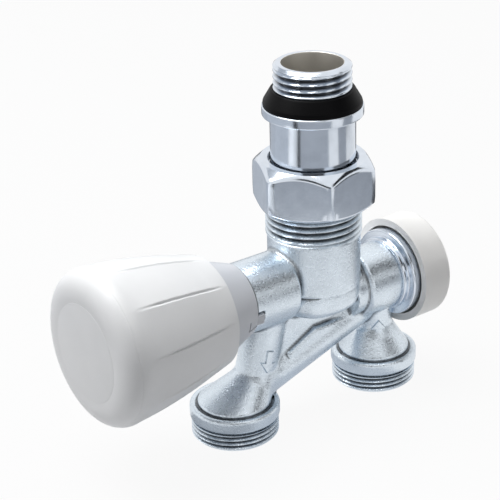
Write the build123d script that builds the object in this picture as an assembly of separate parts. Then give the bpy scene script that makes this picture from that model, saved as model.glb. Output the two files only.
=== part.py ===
from build123d import *
import os
from math import cos, pi, radians, sin

# All sizes are millimetres. Pieces are drawn with the barrel's axis at x = 0 and placed at the end,
# so that the origin lies midway between the two pipe connections, on their lower faces.

# Layout
foot_spacing = 50.0
feet_shift = 3.2
handwheel_axis_z = 39.6
bypass_axis_z = 31.7

# Clearances
running_gap = 0.05
thread_gap = 0.12
slip_gap = 0.4

# Pipe connections
foot_thread_r = 12.0
foot_thread_h = 5.6
foot_band_r = 12.4
foot_h = 9.5
foot_chamfer = 0.8
foot_bore_r = 8.0
foot_bore_h = 7.5
foot_relief_r = 11.4
foot_relief_h = 0.5
flange_r = 10.1
flange_h = 0.7
dome_h = 6.3
dome_half_length = 6.5
dome_half_width = 5.0

# Legs, sloping duct and web
leg_r = 5.6
leg_base_shift = 5.6
leg_top_shift = 12.8
leg_bore_r = 3.6
right_leg_r = 5.2
right_leg_bore_r = 2.7
right_leg_bore_shift = -1.0
duct_r = 5.3
duct_bore_r = 3.4
duct_start_z = 12.0
duct_end_x = 15.0
duct_drop = 7.3
web_thickness = 6.8
shelf_width = 10.0
shelf_top_z = 25.0
shelf_bend_x = -3.2
shelf_tip_x = -12.5
shelf_tip_z = 20.0
shelf_round = 1.5

# Barrel and side necks
barrel_step = 0.42
barrel_bottom_z = 37.5
barrel_bore_r = 10.0
barrel_floor_z = 36.2
barrel_thread_r = 13.22
barrel_thread_z = 54.6
barrel_top_z = 66.4
barrel_chamfer = 0.9
chamber_r = 12.0
chamber_left_x = -5.5
chamber_right_x = 12.0
chamber_round = 2.5
left_neck_r = 9.8
left_neck_x = -27.0
saddle_round = 2.0
leg_round = 1.2
left_bore_r = 6.9
seat_x = -13.6
seat_bore_r = 4.0
seat_lip_r = 4.7
seat_lip_h = 0.5
seat_break = 2.0
right_neck_r = 9.7
right_neck_back = 10.9
right_neck_reach = 2.4
right_boss_r = 8.4
right_boss_x = 9.5
right_bore_r = 6.8
right_bore_floor = 0.2
return_bore_r = 3.0
probe_bore_r = 4.6
probe_boss_r = 6.4
probe_boss_h = 3.5
facing_gap = 0.4

# Tailpiece, seals and union nut
tail_top_z = 100.5
tail_thread_r = 10.478
tail_thread_h = 6.8
tail_relief_r = 9.7
tail_chamfer = 0.7
tail_bore_r = 8.3
tail_tube_inset = 1.72
collar_r = 13.6
collar_h = 2.6
collar_chamfer = 0.4
tail_flange_inset = 1.02
tail_flange_h = 2.6
gasket_h = 1.2
gasket_inset = 1.12
seal_h = 4.5
seal_headroom = 0.2
seal_top_r = 11.2
seal_bottom_r = 13.35
nut_wall = 1.78
nut_bottom_z = 60.7
nut_top_z = 74.1
nut_turn = 7.4
nut_hole_gap = 0.8
nut_top_face_inset = 0.7
nut_bottom_face_inset = 0.4
nut_top_chamfer = 2.7
nut_bottom_chamfer = 1.5
nut_lip = 0.45
nut_lip_h = 0.3
ring_wire_r = 0.7
ring_inset = 0.77

# Handwheel headwork
bonnet_thread_r = 7.5
bonnet_nose_h = 3.6
bonnet_flange_r = 9.3
bonnet_flange_h = 2.6
bonnet_hub_r = 6.2
bonnet_hub_h = 6.9
bonnet_screw_h = 7.1
gland_bore_h = 1.5
packing_r = 4.9
packing_h = 1.9
gland_head_r = 6.0
gland_head_h = 2.4
face_ring_r = 8.5
face_ring_wire_r = 0.5
spindle_thread_r = 4.0
spindle_thread_h = 7.5
spindle_stem_r = 2.9
spindle_tip_r = 1.9
spindle_tip_h = 2.8
spindle_square = 6.0
spindle_square_h = 9.8
spindle_square_chamfer = 0.75
screw_r = 1.6
screw_hole_h = 6.0
holder_r = 5.4
holder_h = 4.4
holder_cup_r = 4.9
holder_cup_h = 1.0
washer_h = 1.75

# Base collar
base_neck_r = 10.3
base_neck_bore_r = 9.5
base_wide_r = 13.9
base_taper_h = 9.8
base_skirt_h = 4.0
base_wall = 1.3
base_web_h = 1.5
tongue_angle = 103.0
tongue_width = 2.8
tongue_length = 3.0
tongue_reach = 2.3
tongue_slit = 0.45

# Handwheel
wheel_middle_h = 15.2
wheel_middle_r = 19.35
wheel_widest_h = 30.2
wheel_widest_r = 21.2
wheel_h = 36.8
wheel_front_r = 14.2
wheel_nose_pull = 0.65
wheel_nose_swell = 0.3
wheel_wall = 1.2
wheel_front_wall = 2.2
wheel_hub_r = 6.0
wheel_hub_gap = 5.6
wheel_hub_h = 19.7
wheel_lobes = 10
groove_angle = 43.0
groove_width = 1.1
groove_depth = 0.75
groove_back_h = 2.4
groove_front_h = 29.4
disc_r = 13.2
disc_h = 2.0
disc_rise = 0.6
screw_head_r = 3.2
screw_head_h = 2.2
screw_slot_h = 1.1
screw_slot_width = 0.75

# Bypass headwork and cap
bypass_thread_r = 7.7
bypass_nose_h = 3.4
bypass_flange_r = 10.8
bypass_flange_h = 3.6
bypass_flange_round = 0.8
bypass_hub_r = 8.6
bypass_hub_h = 5.7
bypass_screw_r = 3.5
bypass_screw_back = 2.1
bypass_screw_ahead = 0.8
bypass_step_h = 4.8
bypass_stem_r = 2.9
bypass_stem_h = 7.3
bypass_socket = 4.0
bypass_socket_h = 3.0
bypass_tip_r = 1.9
bypass_ring_step = 1.0
bypass_ring_h = 1.6
bypass_ring_r = 4.2
sleeve_r = 6.7
sleeve_h = 4.0
sleeve_bore_r = 4.6
sleeve_plate_h = 1.8
sleeve_window_r = 1.1
sleeve_window_centre_r = 3.3
sleeve_windows = 4
cap_r = 15.2
cap_h = 9.8
cap_wall = 2.0
cap_floor = 1.8
cap_round = 1.4
cap_grip_r = 10.4
cap_grip_gap = 0.15

# Worked-out places
left_x = -foot_spacing / 2 - feet_shift
right_x = foot_spacing / 2 - feet_shift
origin_shift = feet_shift
leg_base = (left_x + leg_base_shift, 0, foot_h)
leg_top = (left_x + leg_top_shift, 0, handwheel_axis_z)
leg_slope = (leg_top[0] - leg_base[0]) / (leg_top[2] - leg_base[2])
duct_start = (leg_base[0] + leg_slope * (duct_start_z - foot_h), 0, duct_start_z)
duct_end = (duct_end_x, 0, bypass_axis_z - duct_drop)
duct_slope = (duct_end[2] - duct_start[2]) / (duct_end[0] - duct_start[0])
tail_foot_z = barrel_top_z + gasket_h
tail_thread_z = tail_top_z - tail_thread_h
tail_seal_z = tail_thread_z - seal_headroom - seal_h
collar_z = tail_seal_z - collar_h
barrel_r = barrel_thread_r - barrel_step
tail_tube_r = barrel_thread_r - tail_tube_inset
tail_flange_r = barrel_thread_r - tail_flange_inset
gasket_r = barrel_thread_r - gasket_inset
ring_centre_r = barrel_thread_r - ring_inset
nut_flats = 2 * (barrel_thread_r + nut_wall)
nut_hole_r = tail_tube_r + nut_hole_gap
nut_top_face_r = nut_flats / 2 - nut_top_face_inset
nut_bottom_face_r = nut_flats / 2 - nut_bottom_face_inset
right_bore_x = chamber_right_x + right_bore_floor
right_neck_x = right_x + right_neck_reach
right_neck_start_x = right_neck_x - right_neck_back
bonnet_hub_x = left_neck_x - bonnet_flange_h - bonnet_hub_h
screw_end_x = left_neck_x + bonnet_nose_h - bonnet_screw_h
packing_x = screw_end_x - gland_bore_h
spindle_screw_x = seat_x - seat_lip_h - running_gap - washer_h + holder_cup_h - holder_h
wheel_back_x = left_neck_x - base_taper_h
wheel_back_r = base_wide_r + slip_gap + wheel_wall
wheel_middle_x = wheel_back_x - wheel_middle_h
wheel_widest_x = wheel_back_x - wheel_widest_h
wheel_front_x = wheel_back_x - wheel_h
wheel_hub_x = bonnet_hub_x - gland_head_h - wheel_hub_gap
wheel_square_x = wheel_hub_x - spindle_square_h - 2 * running_gap
screw_seat_x = wheel_hub_x - wheel_hub_h
sleeve_x = right_bore_x + 2 * running_gap
sleeve_end_x = sleeve_x + sleeve_h
bypass_screw_x = sleeve_end_x + bypass_screw_back
bypass_screw_end_x = right_neck_x + bypass_screw_ahead
bypass_step_x = right_neck_x + bypass_step_h
bypass_ring_x = bypass_step_x + bypass_ring_step
bypass_end_x = right_neck_x + bypass_stem_h
bypass_flange_x = right_neck_x + bypass_flange_h
cap_rim_x = bypass_flange_x + facing_gap
cap_end_x = cap_rim_x + cap_h
cap_inner_x = cap_end_x - cap_floor
tongue_bottom_r = bonnet_flange_r + 2 * running_gap


def about_z(*profile):
    """Solid turned about the barrel's axis from (radius, height) corners."""
    outline = Polyline(*[(r, 0, z) for r, z in profile], close=True)
    return revolve(make_face(outline), Axis.Z)


def about_x(axis_z, *profile):
    """Solid turned about a level axis from (x, radius) corners."""
    outline = Polyline(*[(x, 0, r) for x, r in profile], close=True)
    return Pos(0, 0, axis_z) * revolve(make_face(outline), Axis.X)


def rod(start, end, radius):
    """Round bar between two points."""
    span = Vector(*end) - Vector(*start)
    bar = Cylinder(radius, span.length, align=(Align.CENTER, Align.CENTER, Align.MIN))
    return Plane(origin=start, z_dir=span) * bar


def level_rod(axis_z, x_from, x_to, radius):
    """Round bar along X."""
    return rod((x_from, 0, axis_z), (x_to, 0, axis_z), radius)


def foot(x):
    """Pipe connection: threaded end, run-out groove, plain band and chamfered shoulder."""
    relief_z = foot_thread_h - foot_relief_h
    outer = about_z(
        (0, 0),
        (foot_thread_r - foot_chamfer, 0),
        (foot_thread_r, foot_chamfer),
        (foot_thread_r, relief_z),
        (foot_relief_r, relief_z),
        (foot_relief_r, foot_thread_h),
        (foot_band_r, foot_thread_h),
        (foot_band_r, foot_h - foot_chamfer),
        (foot_band_r - foot_chamfer, foot_h),
        (flange_r, foot_h),
        (flange_r, foot_h + flange_h),
        (0, foot_h + flange_h),
    )
    return Pos(x, 0, 0) * outer


def foot_bore(x):
    """Pipe socket in a foot."""
    return rod((x, 0, 0), (x, 0, foot_bore_h), foot_bore_r)


def dome(x, lean):
    """Forged shoulder over a foot: two leaning cones that meet in a ridge along the parting plane."""
    spread = (dome_half_length**2 - dome_half_width**2) / (2 * dome_half_width)
    base_z = foot_h + flange_h
    halves = []
    for side in (1, -1):
        lower = Pos(x, 0, base_z) * Circle(flange_r)
        upper = Pos(x + lean, side * spread, base_z + dome_h) * Circle(dome_half_width + spread)
        halves.append(loft([lower, upper]))
    return halves[0] & halves[1]


def make_valve_body():
    """One forging: barrel, side necks, legs, sloping duct, web and feet, with its drilled ways."""
    barrel = about_z(
        (0, barrel_bottom_z),
        (barrel_r, barrel_bottom_z),
        (barrel_r, barrel_thread_z),
        (barrel_thread_r, barrel_thread_z),
        (barrel_thread_r, barrel_top_z - barrel_chamfer),
        (barrel_thread_r - barrel_chamfer, barrel_top_z),
        (0, barrel_top_z),
    )
    chamber = level_rod(handwheel_axis_z, chamber_left_x, chamber_right_x, chamber_r)
    chamber = fillet(chamber.edges().filter_by(GeomType.CIRCLE), chamber_round)
    dome_lean = leg_base_shift + leg_slope * (flange_h + dome_h)
    web_outline = Polyline(
        (duct_start[0], duct_start[2]),
        (duct_end[0], duct_end[2]),
        (chamber_right_x, handwheel_axis_z),
        (leg_top[0], leg_top[2]),
        close=True,
    )
    web = extrude(Plane.XZ * make_face(web_outline), web_thickness / 2, both=True)
    forging = left_arm(barrel) + chamber
    forging += level_rod(bypass_axis_z, right_boss_x, right_neck_start_x, right_boss_r)
    forging += level_rod(bypass_axis_z, right_neck_start_x, right_neck_x, right_neck_r)
    forging += rod((right_x, 0, foot_h), (right_x, 0, bypass_axis_z), right_leg_r)
    forging += rod(duct_start, duct_end, duct_r) + Pos(*duct_start) * Sphere(duct_r)
    forging += web + duct_shelf()
    forging += foot(left_x) + dome(left_x, dome_lean)
    forging += foot(right_x) + dome(right_x, 0)
    for way in body_ways():
        forging -= way
    return forging


def duct_shelf():
    """Rounded ledge on the sloping duct, which rises to a level top under the barrel."""
    tip_axis_z = duct_start_z + duct_slope * (shelf_tip_x - duct_start[0])
    outline = Polyline(
        (shelf_tip_x, tip_axis_z),
        (shelf_tip_x, shelf_tip_z),
        (shelf_bend_x, shelf_top_z),
        (duct_end_x, shelf_top_z),
        (duct_end_x, duct_end[2]),
        close=True,
    )
    shelf = extrude(Plane.XZ * make_face(outline), shelf_width / 2, both=True)
    top_faces = [face for face in shelf.faces() if face.normal_at().Z > cos(pi / 4)]
    rims = ShapeList(edge for face in top_faces for edge in face.edges())
    return fillet(rims.filter_by(Axis.Y, reverse=True), shelf_round)


def left_arm(barrel):
    """Left neck and its leg on the barrel, with the hollows of the forging between them."""
    arm = barrel + level_rod(handwheel_axis_z, left_neck_x, 0, left_neck_r)
    saddle = arm.edges().filter_by(GeomType.BSPLINE)
    underside = arm.faces().filter_by(Plane.XY).sort_by(Axis.Z)[0]
    saddle += underside.edges().filter_by(GeomType.LINE)
    arm = fillet(saddle, saddle_round) + rod(leg_base, leg_top, leg_r)
    crotch = arm.edges().filter_by(GeomType.BSPLINE).sort_by(Axis.Z)[0]
    return fillet(crotch, leg_round)


def body_ways():
    """Everything that is drilled or cored out of the forging."""
    seat_end_x = seat_break - barrel_bore_r
    barrel_way = about_z(
        (0, bypass_axis_z - return_bore_r),
        (probe_bore_r, bypass_axis_z - return_bore_r),
        (probe_bore_r, barrel_floor_z + probe_boss_h),
        (probe_boss_r, barrel_floor_z + probe_boss_h),
        (probe_boss_r, barrel_floor_z),
        (barrel_bore_r, barrel_floor_z),
        (barrel_bore_r, barrel_top_z),
        (0, barrel_top_z),
    )
    bonnet_bore_r = bonnet_thread_r + thread_gap
    left_way = about_x(
        handwheel_axis_z,
        (left_neck_x, 0),
        (left_neck_x, bonnet_bore_r),
        (left_neck_x + bonnet_nose_h + slip_gap, bonnet_bore_r),
        (left_neck_x + bonnet_nose_h + slip_gap, left_bore_r),
        (seat_x, left_bore_r),
        (seat_x, seat_lip_r),
        (seat_x - seat_lip_h, seat_lip_r),
        (seat_x - seat_lip_h, seat_bore_r),
        (seat_end_x, seat_bore_r),
        (seat_end_x, 0),
    )
    bypass_bore_r = bypass_thread_r + thread_gap
    right_way = about_x(
        bypass_axis_z,
        (0, 0),
        (0, return_bore_r),
        (right_bore_x, return_bore_r),
        (right_bore_x, right_bore_r),
        (right_neck_x - bypass_nose_h - slip_gap, right_bore_r),
        (right_neck_x - bypass_nose_h - slip_gap, bypass_bore_r),
        (right_neck_x, bypass_bore_r),
        (right_neck_x, 0),
    )
    leg_foot = (leg_base[0] - leg_slope * (foot_h - foot_bore_h), 0, foot_bore_h)
    right_way_x = right_x + right_leg_bore_shift
    return [
        barrel_way,
        left_way,
        right_way,
        foot_bore(left_x),
        foot_bore(right_x),
        rod(leg_foot, leg_top, leg_bore_r),
        rod(duct_start, duct_end, duct_bore_r),
        rod((right_way_x, 0, foot_bore_h), (right_way_x, 0, bypass_axis_z), right_leg_bore_r),
        level_rod(bypass_axis_z, right_neck_x, cap_rim_x, bypass_flange_r + facing_gap),
        on_neck(tongue_key(tongue_slit)),
    ]


def make_tailpiece():
    """Turned tail with the radiator thread, the seal's collar and the flange that the union pulls."""
    return about_z(
        (tail_bore_r, tail_foot_z),
        (tail_flange_r, tail_foot_z),
        (tail_flange_r, tail_foot_z + tail_flange_h),
        (tail_tube_r, tail_foot_z + tail_flange_h),
        (tail_tube_r, collar_z),
        (collar_r - collar_chamfer, collar_z),
        (collar_r, collar_z + collar_chamfer),
        (collar_r, tail_seal_z - collar_chamfer),
        (collar_r - collar_chamfer, tail_seal_z),
        (tail_relief_r, tail_seal_z),
        (tail_relief_r, tail_thread_z),
        (tail_thread_r, tail_thread_z),
        (tail_thread_r, tail_top_z - tail_chamfer),
        (tail_thread_r - tail_chamfer, tail_top_z),
        (tail_bore_r, tail_top_z),
    )


def make_radiator_seal():
    """Conical rubber ring that seals against the radiator's face."""
    bore_r = tail_relief_r + running_gap
    return about_z(
        (bore_r, tail_seal_z),
        (seal_bottom_r, tail_seal_z),
        (seal_top_r, tail_seal_z + seal_h),
        (bore_r, tail_seal_z + seal_h),
    )


def make_tail_gasket():
    """Flat seal between the barrel and the tailpiece."""
    return about_z(
        (barrel_bore_r, barrel_top_z),
        (gasket_r, barrel_top_z),
        (gasket_r, tail_foot_z),
        (barrel_bore_r, tail_foot_z),
    )


def ring_z():
    """Height of the snap ring's wire, resting on the tailpiece's flange."""
    return tail_foot_z + tail_flange_h + 2 * running_gap + ring_wire_r


def make_nut_snap_ring():
    """Wire ring in the nut that bears on the tailpiece's flange."""
    return Pos(0, 0, ring_z()) * Torus(ring_centre_r, ring_wire_r)


def make_union_nut():
    """Hexagon nut with turned chamfers, thread bore and snap-ring groove."""
    height = nut_top_z - nut_bottom_z
    hexagon = RegularPolygon(nut_flats / 2, 6, major_radius=False, rotation=nut_turn)
    blank = extrude(Pos(0, 0, nut_bottom_z) * hexagon, height)
    corner_r = nut_flats / 2 / cos(pi / 6)
    turned = about_z(
        (0, nut_bottom_z),
        (nut_bottom_face_r, nut_bottom_z),
        (corner_r, nut_bottom_z + nut_bottom_chamfer),
        (corner_r, nut_top_z - nut_top_chamfer),
        (nut_top_face_r, nut_top_z),
        (0, nut_top_z),
    )
    thread_bore_r = barrel_thread_r + thread_gap
    lip_r = tail_flange_r + nut_lip
    lip_top_z = ring_z() - ring_wire_r - running_gap
    groove_top_z = ring_z() + ring_wire_r + running_gap
    bore = about_z(
        (0, nut_bottom_z),
        (thread_bore_r, nut_bottom_z),
        (thread_bore_r, lip_top_z - nut_lip_h),
        (lip_r, lip_top_z - nut_lip_h),
        (lip_r, lip_top_z),
        (thread_bore_r, lip_top_z),
        (thread_bore_r, groove_top_z),
        (nut_hole_r, groove_top_z),
        (nut_hole_r, nut_top_z),
        (0, nut_top_z),
    )
    return (blank & turned) - bore


def make_bonnet():
    """Headwork screwed into the left neck: it guides the spindle and holds the gland."""
    nose_x = left_neck_x + bonnet_nose_h
    flange_x = left_neck_x - bonnet_flange_h
    screw_bore_r = spindle_thread_r + running_gap
    stem_bore_r = spindle_stem_r + running_gap
    blank = about_x(
        handwheel_axis_z,
        (nose_x, screw_bore_r),
        (nose_x, bonnet_thread_r),
        (left_neck_x, bonnet_thread_r),
        (left_neck_x, bonnet_flange_r),
        (flange_x, bonnet_flange_r),
        (flange_x, bonnet_hub_r),
        (bonnet_hub_x, bonnet_hub_r),
        (bonnet_hub_x, packing_r),
        (packing_x, packing_r),
        (packing_x, stem_bore_r),
        (screw_end_x, stem_bore_r),
        (screw_end_x, screw_bore_r),
    )
    return blank - face_groove(handwheel_axis_z, left_neck_x, -1, face_ring_r)


def face_groove(axis_z, face_x, side, centre_r):
    """Groove for an O-ring in a flange's face; side is the way from the face into the flange."""
    depth = side * (2 * face_ring_wire_r + running_gap)
    half_width = face_ring_wire_r + 2 * running_gap
    return about_x(
        axis_z,
        (face_x, centre_r - half_width),
        (face_x, centre_r + half_width),
        (face_x + depth, centre_r + half_width),
        (face_x + depth, centre_r - half_width),
    )


def face_o_ring(axis_z, face_x, side, centre_r):
    """O-ring that lies in a flange's groove."""
    ring = Torus(centre_r, face_ring_wire_r)
    x = face_x + side * (face_ring_wire_r + running_gap)
    return Pos(x, 0, axis_z) * Rot(0, 90, 0) * ring


def make_gland_nut():
    """Gland nut that closes the packing chamber."""
    bore_r = spindle_stem_r + 2 * running_gap
    head = extrude(Plane.YZ * RegularPolygon(gland_head_r, 6), -gland_head_h)
    shank = about_x(
        handwheel_axis_z,
        (bonnet_hub_x, 0),
        (bonnet_hub_x, packing_r - running_gap),
        (packing_x - packing_h - running_gap, packing_r - running_gap),
        (packing_x - packing_h - running_gap, 0),
    )
    blank = Pos(bonnet_hub_x, 0, handwheel_axis_z) * head + shank
    return blank - level_rod(handwheel_axis_z, bonnet_hub_x - gland_head_h, packing_x, bore_r)


def make_spindle_o_ring():
    """Packing ring round the handwheel spindle."""
    return about_x(
        handwheel_axis_z,
        (packing_x, spindle_stem_r + running_gap),
        (packing_x, packing_r - running_gap),
        (packing_x - packing_h, packing_r - running_gap),
        (packing_x - packing_h, spindle_stem_r + running_gap),
    )


def make_spindle():
    """Screw spindle with a tip for the disc holder and a square for the handwheel."""
    tip_x = spindle_screw_x + spindle_tip_h
    screw_x = spindle_screw_x - spindle_thread_h
    stem = about_x(
        handwheel_axis_z,
        (tip_x, 0),
        (tip_x, spindle_tip_r),
        (spindle_screw_x - running_gap, spindle_tip_r),
        (spindle_screw_x - running_gap, spindle_thread_r),
        (screw_x, spindle_thread_r),
        (screw_x, spindle_stem_r),
        (wheel_hub_x, spindle_stem_r),
        (wheel_hub_x, 0),
    )
    end_x = wheel_hub_x - spindle_square_h
    square = Box(
        spindle_square_h, spindle_square, spindle_square, align=(Align.MAX, Align.CENTER, Align.CENTER)
    )
    square = chamfer(square.edges().filter_by(Axis.X), spindle_square_chamfer)
    tapped = level_rod(handwheel_axis_z, end_x, end_x + screw_hole_h, screw_r + running_gap)
    return stem + Pos(wheel_hub_x, 0, handwheel_axis_z) * square - tapped


def make_disc_holder():
    """Holder that carries the rubber disc on the spindle's tip."""
    front_x = spindle_screw_x + holder_h
    socket_x = spindle_screw_x + spindle_tip_h + running_gap
    return about_x(
        handwheel_axis_z,
        (spindle_screw_x, spindle_tip_r + running_gap),
        (spindle_screw_x, holder_r),
        (front_x, holder_r),
        (front_x, holder_cup_r),
        (front_x - holder_cup_h, holder_cup_r),
        (front_x - holder_cup_h, 0),
        (socket_x, 0),
        (socket_x, spindle_tip_r + running_gap),
    )


def make_disc_washer():
    """Rubber disc that closes on the seat."""
    back_x = spindle_screw_x + holder_h - holder_cup_h
    return level_rod(handwheel_axis_z, back_x, back_x + washer_h, holder_cup_r - running_gap)


def make_base_collar():
    """Tapered collar that hides the headwork, with a locking tongue at its neck end."""
    neck_x = left_neck_x - running_gap
    wide_x = left_neck_x - base_taper_h
    end_x = wide_x - base_skirt_h
    web_x = left_neck_x - bonnet_flange_h - running_gap
    taper = (base_wide_r - base_neck_r) / base_taper_h
    web_end_x = web_x - base_web_h
    web_r = base_neck_r + taper * (left_neck_x - web_end_x) - base_wall
    shell = about_x(
        handwheel_axis_z,
        (neck_x, base_neck_bore_r),
        (neck_x, base_neck_r),
        (wide_x, base_wide_r),
        (end_x, base_wide_r),
        (end_x, base_wide_r - base_wall),
        (wide_x, base_wide_r - base_wall),
        (web_end_x, web_r),
        (web_end_x, bonnet_hub_r + slip_gap),
        (web_x, bonnet_hub_r + slip_gap),
        (web_x, base_neck_bore_r),
    )
    end_width = tongue_width + tongue_slit
    side_slit = Box(tongue_length, tongue_slit, base_wide_r, align=(Align.MAX, Align.MAX, Align.MIN))
    end_slit = Box(tongue_slit, end_width, base_wide_r, align=(Align.MAX, Align.MIN, Align.MIN))
    slits = Pos(0, -tongue_width / 2, 0) * side_slit
    slits += Pos(-tongue_length, -tongue_width / 2 - tongue_slit, 0) * end_slit
    slits -= level_rod(0, -base_wide_r, base_wide_r, bonnet_flange_r + running_gap)
    return shell - on_neck(slits) + on_neck(tongue_key(0))


def tongue_key(gap):
    """End of the collar's tongue, or with a gap the notch that it enters in the neck's edge."""
    width = tongue_width + 2 * gap
    height = base_neck_r - tongue_bottom_r + gap
    block = Box(tongue_reach + gap, width, height, align=(Align.MIN, Align.CENTER, Align.MAX))
    return Pos(0, 0, base_neck_r) * block


def on_neck(shape):
    """Places a shape drawn at the collar's top at the tongue's angle on the left neck's end."""
    return Pos(left_neck_x - running_gap, 0, handwheel_axis_z) * Rot(tongue_angle, 0, 0) * shape


def wheel_inner_r(x):
    """Inner radius of the handwheel's wall, a straight taper from the back to the widest place."""
    share = (wheel_back_x - x) / wheel_widest_h
    return wheel_back_r - wheel_wall + share * (wheel_widest_r - wheel_back_r - wheel_wall)


def make_handwheel():
    """Moulded handwheel: tapered shell with a rounded front, inner hub and grooves between its lobes."""
    disc_x = wheel_front_x + disc_h
    inner_front_x = disc_x + wheel_front_wall
    nose = wheel_widest_x - wheel_front_x
    side = ThreePointArc(
        (wheel_back_x, 0, wheel_back_r),
        (wheel_middle_x, 0, wheel_middle_r),
        (wheel_widest_x, 0, wheel_widest_r),
    )
    front = Bezier(
        side @ 1,
        (wheel_widest_x - wheel_nose_pull * nose, 0, wheel_widest_r + wheel_nose_swell),
        (wheel_front_x, 0, wheel_front_r + wheel_nose_pull * (wheel_widest_r - wheel_front_r)),
        (wheel_front_x, 0, wheel_front_r),
    )
    head_r = screw_head_r + slip_gap
    hole_r = screw_r + 2 * running_gap
    inner = Polyline(
        front @ 1,
        (wheel_front_x, 0, disc_r + running_gap),
        (disc_x, 0, disc_r + running_gap),
        (disc_x, 0, head_r),
        (screw_seat_x, 0, head_r),
        (screw_seat_x, 0, hole_r),
        (wheel_hub_x, 0, hole_r),
        (wheel_hub_x, 0, wheel_hub_r),
        (inner_front_x, 0, wheel_hub_r),
        (inner_front_x, 0, wheel_inner_r(inner_front_x) - wheel_front_wall),
        (wheel_widest_x, 0, wheel_inner_r(wheel_widest_x)),
        (wheel_back_x, 0, wheel_back_r - wheel_wall),
        side @ 0,
    )
    shell = Pos(0, 0, handwheel_axis_z) * revolve(make_face(side + front + inner), Axis.X)
    for index in range(wheel_lobes):
        turn = groove_angle + index * 360 / wheel_lobes
        shell -= Pos(0, 0, handwheel_axis_z) * Rot(turn, 0, 0) * wheel_groove(side)
    socket_size = spindle_square + 2 * running_gap
    socket_h = wheel_hub_x - wheel_square_x
    socket = Box(socket_h, socket_size, socket_size, align=(Align.MAX, Align.CENTER, Align.CENTER))
    return shell - Pos(wheel_hub_x, 0, handwheel_axis_z) * socket


def wheel_groove(side):
    """Cutter for one groove: a V along the chord of the arched side, so that it runs out at both ends."""
    back = side @ (groove_back_h / wheel_widest_h)
    front = side @ (groove_front_h / wheel_widest_h)
    chord = front - back
    section = Plane(origin=back, x_dir=(0, 1, 0), z_dir=chord)
    height = 2 * groove_depth
    flare = groove_width * height / groove_depth / 2
    vee = Polyline((0, 0), (flare, height), (-flare, height), close=True)
    return extrude(section * mirror_up(make_face(vee), section), chord.length)


def mirror_up(face, section):
    """Turns the V so that its open side points away from the handwheel's axis."""
    return face if section.y_dir.Z > 0 else Rot(0, 0, 180) * face


def make_handwheel_disc():
    """Slightly domed disc that closes the handwheel's front."""
    ball_r = (disc_r**2 + disc_rise**2) / (2 * disc_rise)
    crown_x = wheel_front_x - disc_rise
    blank = level_rod(handwheel_axis_z, wheel_front_x + disc_h, crown_x, disc_r)
    return blank & Pos(crown_x + ball_r, 0, handwheel_axis_z) * Sphere(ball_r)


def make_handwheel_screw():
    """Screw that holds the handwheel on the spindle."""
    end_x = wheel_hub_x - spindle_square_h + screw_hole_h - 2 * running_gap
    head = level_rod(handwheel_axis_z, screw_seat_x, screw_seat_x - screw_head_h, screw_head_r)
    shank = level_rod(handwheel_axis_z, screw_seat_x, end_x, screw_r)
    slot = Box(
        screw_slot_h, 2 * screw_head_r, screw_slot_width, align=(Align.MIN, Align.CENTER, Align.CENTER)
    )
    return head + shank - Pos(screw_seat_x - screw_head_h, 0, handwheel_axis_z) * slot


def make_bypass_bonnet():
    """Polished head in the right neck: it guides the bypass spindle and carries the cap."""
    nose_x = right_neck_x - bypass_nose_h
    hub_x = bypass_flange_x + bypass_hub_h
    screw_bore_r = bypass_screw_r + running_gap
    stem_bore_r = bypass_stem_r + running_gap
    blank = about_x(
        bypass_axis_z,
        (nose_x, screw_bore_r),
        (nose_x, bypass_thread_r),
        (right_neck_x, bypass_thread_r),
        (right_neck_x, bypass_flange_r - bypass_flange_round),
        (right_neck_x + bypass_flange_round, bypass_flange_r),
        (bypass_flange_x - bypass_flange_round, bypass_flange_r),
        (bypass_flange_x, bypass_flange_r - bypass_flange_round),
        (bypass_flange_x, bypass_hub_r),
        (hub_x, bypass_hub_r),
        (hub_x, stem_bore_r),
        (bypass_ring_x + bypass_ring_h, stem_bore_r),
        (bypass_ring_x + bypass_ring_h, bypass_ring_r),
        (bypass_ring_x, bypass_ring_r),
        (bypass_ring_x, stem_bore_r),
        (bypass_step_x, stem_bore_r),
        (bypass_step_x, screw_bore_r),
    )
    return blank - face_groove(bypass_axis_z, right_neck_x, 1, bypass_seal_r())


def bypass_seal_r():
    """Middle radius of the seal between the right neck's end and the bypass head."""
    return (bypass_thread_r + thread_gap + right_neck_r) / 2


def make_bypass_spindle_o_ring():
    """Packing ring round the bypass spindle."""
    return about_x(
        bypass_axis_z,
        (bypass_ring_x + running_gap, bypass_stem_r + running_gap),
        (bypass_ring_x + running_gap, bypass_ring_r - running_gap),
        (bypass_ring_x + bypass_ring_h - running_gap, bypass_ring_r - running_gap),
        (bypass_ring_x + bypass_ring_h - running_gap, bypass_stem_r + running_gap),
    )


def make_bypass_sleeve():
    """Open sleeve that covers the sloping duct's port and lets the return flow through its windows."""
    plate_x = sleeve_end_x - sleeve_plate_h
    sleeve = about_x(
        bypass_axis_z,
        (sleeve_x, sleeve_bore_r),
        (sleeve_x, sleeve_r),
        (sleeve_end_x, sleeve_r),
        (sleeve_end_x, bypass_tip_r + running_gap),
        (plate_x, bypass_tip_r + running_gap),
        (plate_x, sleeve_bore_r),
    )
    for index in range(sleeve_windows):
        turn = radians(360 * index / sleeve_windows)
        y = sleeve_window_centre_r * cos(turn)
        z = bypass_axis_z + sleeve_window_centre_r * sin(turn)
        sleeve -= rod((plate_x, y, z), (sleeve_end_x, y, z), sleeve_window_r)
    return sleeve


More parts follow.
